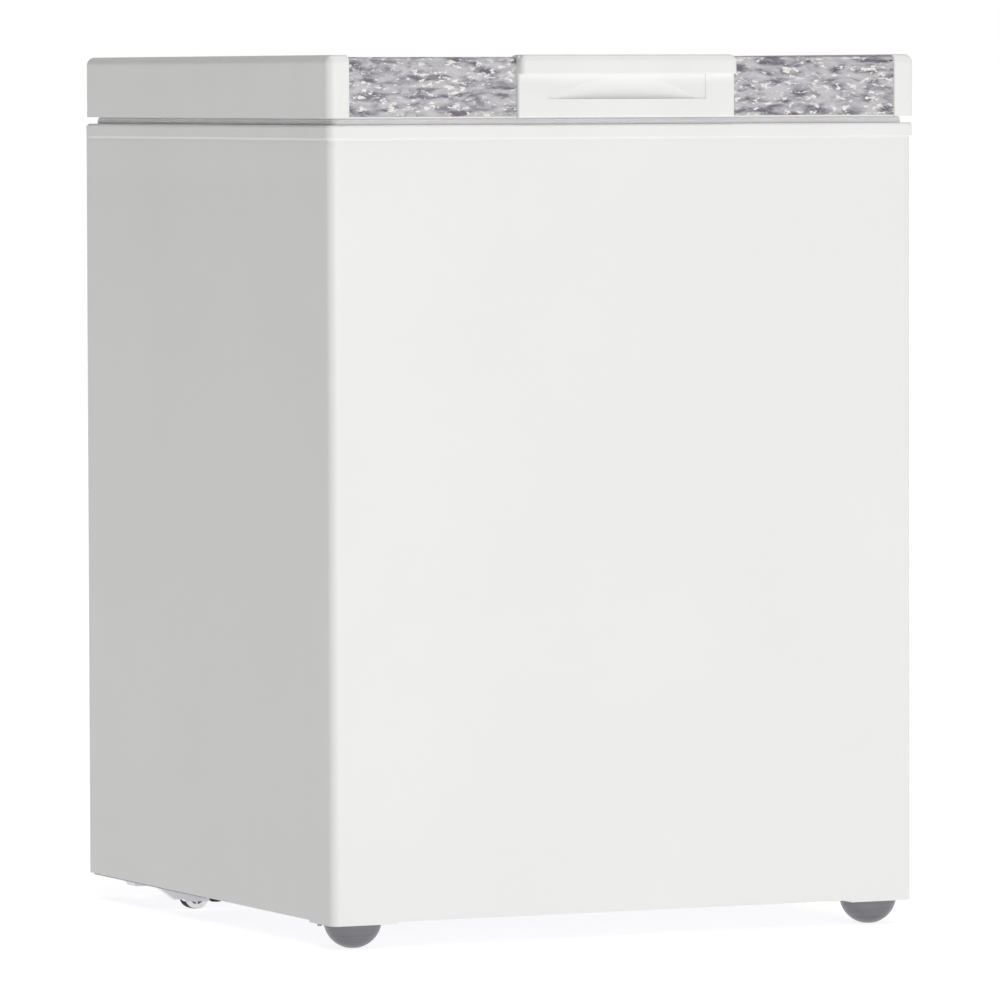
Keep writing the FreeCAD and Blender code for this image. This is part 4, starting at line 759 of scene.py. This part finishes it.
class FREEZER_OT_treads(bpy.types.Operator):
    """Make the rollers' rubber treads"""
    bl_idname = "freezer.treads"
    bl_label = "Roller treads"

    def execute(self, context):
        for hand in ("left", "right"):
            build_tread(hand)
        return {"FINISHED"}


class FREEZER_OT_seal(bpy.types.Operator):
    """Make the lid's seal"""
    bl_idname = "freezer.seal"
    bl_label = "Lid seal"

    def execute(self, context):
        build_seal()
        return {"FINISHED"}


class FREEZER_OT_screws(bpy.types.Operator):
    """Make the screws with their cross recesses"""
    bl_idname = "freezer.screws"
    bl_label = "Screws"

    def execute(self, context):
        settings = context.scene.freezer
        tree = screw_tree()
        pieces = {"cabinet_screws": [], "lid_screws": []}
        for (node, upright, length), (turn, points) in screw_sets().items():
            values = {"Head radius": settings.head_radius, "Head height": settings.head_height,
                      "Shank radius": settings.shank_radius, "Shank length": length / 1000, "Turn": turn}
            body = "lid" if node == "lid_screws" else "cabinet"
            name = f"{node}_{'low' if upright else 'rear'}_{int(length)}mm"
            replaced = [node] if not pieces[node] else []
            piece = grown(name, tree, points, values, zinc_plate, body, replaced)
            pieces[node].append(piece)
        if not all(pieces.values()):
            raise RuntimeError("a screw node has no screws")
        return {"FINISHED"}


class FREEZER_OT_springs(bpy.types.Operator):
    """Make the hinge springs"""
    bl_idname = "freezer.springs"
    bl_label = "Hinge springs"

    def execute(self, context):
        settings = context.scene.freezer
        boxes = islands("hinge_springs")
        points = [(low + high) / 2 for low, high in boxes]
        low, high = boxes[0]
        radius = (high.z - low.z) / 2
        values = {"Coil radius": radius - settings.spring_wire, "Wire radius": settings.spring_wire,
                  "Length": high.x - low.x - 2 * settings.spring_wire, "Turns": settings.spring_turns}
        grown("hinge_spring_coils", spring_tree(), points, values, zinc_plate, "cabinet",
              ["hinge_springs"], 60)
        return {"FINISHED"}


class FREEZER_OT_louvres(bpy.types.Operator):
    """Make the hoods over the rear grille's slots"""
    bl_idname = "freezer.louvres"
    bl_label = "Louvres"

    def execute(self, context):
        low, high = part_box("rear_grille")
        edge = 25 * MM
        half = high.x - edge
        margin = 18 * MM
        rows = 12
        pitch = (high.z - low.z - 2 * margin) / (rows - 1)
        points = []
        for row in range(rows):
            for column in (-1, 0, 1):
                points.append((column * half * 0.62, high.y - 0.1 * MM, low.z + margin + row * pitch))
        values = {"Width": half * 0.48 + 1 * MM, "Hood radius": context.scene.freezer.hood_radius}
        grown("grille_louvres", louvre_tree(), points, values, hot_dip_galvanised, "cabinet", ())
        return {"FINISHED"}


def build_floor():
    """A wide plain floor."""
    reach = 3000.0
    mesh = bpy.data.meshes.new("floor")
    mesh.from_pydata([(-reach, -reach, 0), (reach, -reach, 0), (reach, reach, 0), (-reach, reach, 0)],
                     [], [(0, 1, 2, 3)])
    floor = bpy.data.objects.new("floor", mesh)
    bpy.context.scene.collection.objects.link(floor)
    mesh.materials.append(finish_of(studio_floor))


def build_room(settings):
    """White behind the object, and a soft light on it that is brighter from the front and right."""
    world = bpy.data.worlds.new("studio")
    bpy.context.scene.world = world
    world.use_nodes = True
    tree = world.node_tree
    tree.nodes.clear()
    seen = add(tree, "ShaderNodeBackground", Color=(1, 1, 1, 1), Strength=1.0)
    direction = add(tree, "ShaderNodeTexCoord").outputs["Generated"]
    bright = Vector((0.9, -1.0, 0.25)).normalized()
    facing = add(tree, "ShaderNodeVectorMath", {"operation": "DOT_PRODUCT"}, i0=direction, i1=bright)
    level = add(tree, "ShaderNodeMapRange", {"interpolation_type": "SMOOTHSTEP"},
                Value=facing.outputs["Value"], From_Min=-0.2, From_Max=0.7,
                To_Min=settings.shade_level, To_Max=settings.room_level)
    lit = add(tree, "ShaderNodeBackground", Color=(1, 1, 1, 1), Strength=level.outputs[0])
    rays = add(tree, "ShaderNodeLightPath")
    mix = add(tree, "ShaderNodeMixShader", i0=rays.outputs["Is Camera Ray"], i1=lit.outputs[0],
              i2=seen.outputs[0])
    add(tree, "ShaderNodeOutputWorld", Surface=mix.outputs[0])


def build_top_light(strength):
    """A wide soft light from straight above, which keeps the floor pale."""
    light = bpy.data.lights.new("top_light", "SUN")
    light.energy = strength
    light.angle = math.radians(70)
    lamp = bpy.data.objects.new("top_light", light)
    bpy.context.scene.collection.objects.link(lamp)
    lamp.location = (0, 0, 5)


def build_front_light(power):
    """A low, wide softbox in front, which draws the long highlight on the dome feet."""
    light = bpy.data.lights.new("front_light", "AREA")
    light.shape = "RECTANGLE"
    light.size = 3.4
    light.size_y = 1.1
    light.energy = power
    lamp = bpy.data.objects.new("front_light", light)
    bpy.context.scene.collection.objects.link(lamp)
    lamp.location = (-0.1, -5.2, 0.75)
    lamp.rotation_euler = (math.pi / 2, 0, 0)
    lamp.visible_camera = False


def build_camera():
    """A long lens from the front left, a little above the middle."""
    low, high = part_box("outer_shell")
    yaw, pitch, roll = math.radians(24.74), math.radians(2.76), math.radians(0.173)
    forward = Vector((math.sin(yaw) * math.cos(pitch), math.cos(yaw) * math.cos(pitch), -math.sin(pitch)))
    right = Vector((math.cos(yaw), -math.sin(yaw), 0))
    down = forward.cross(right)
    right, down = (right * math.cos(roll) + down * math.sin(roll),
                   down * math.cos(roll) - right * math.sin(roll))
    data = bpy.data.cameras.new("camera")
    data.lens = 308.8
    data.sensor_width = 36.0
    data.clip_end = 5000.0
    camera = bpy.data.objects.new("camera", data)
    bpy.context.scene.collection.objects.link(camera)
    place = Vector((0.0074, (low.y + high.y) / 2, 0.409)) - forward * 8.531
    turn = Matrix((right, -down, -forward)).transposed().to_4x4()
    camera.matrix_world = Matrix.Translation(place) @ turn
    bpy.context.scene.camera = camera


class FREEZER_OT_stage(bpy.types.Operator):
    """Make the floor, the lights and the camera"""
    bl_idname = "freezer.stage"
    bl_label = "Stage"

    def execute(self, context):
        settings = context.scene.freezer
        build_floor()
        build_room(settings)
        build_top_light(settings.top_level)
        build_front_light(settings.front_power)
        build_camera()
        context.scene.view_settings.view_transform = "Standard"
        return {"FINISHED"}


OPERATORS = (FREEZER_OT_stage, FREEZER_OT_finishes, FREEZER_OT_feet, FREEZER_OT_treads, FREEZER_OT_seal,
             FREEZER_OT_screws, FREEZER_OT_springs, FREEZER_OT_louvres)


class FREEZER_PT_panel(bpy.types.Panel):
    """Buttons and sizes of the freezer"""
    bl_label = "Chest freezer"
    bl_idname = "FREEZER_PT_panel"
    bl_space_type = "VIEW_3D"
    bl_region_type = "UI"
    bl_category = "Freezer"

    def draw(self, context):
        for operator in OPERATORS:
            self.layout.operator(operator.bl_idname)
        for name in FreezerSettings.__annotations__:
            self.layout.prop(context.scene.freezer, name)


CLASSES = (FreezerSettings,) + OPERATORS + (FREEZER_PT_panel,)


def register():
    for cls in CLASSES:
        bpy.utils.register_class(cls)
    bpy.types.Scene.freezer = bpy.props.PointerProperty(type=FreezerSettings)


def unregister():
    del bpy.types.Scene.freezer
    for cls in reversed(CLASSES):
        bpy.utils.unregister_class(cls)


def main():
    register()
    for operator in OPERATORS:
        group, name = operator.bl_idname.split(".")
        getattr(getattr(bpy.ops, group), name)()


if __name__ == "__main__":
    main()
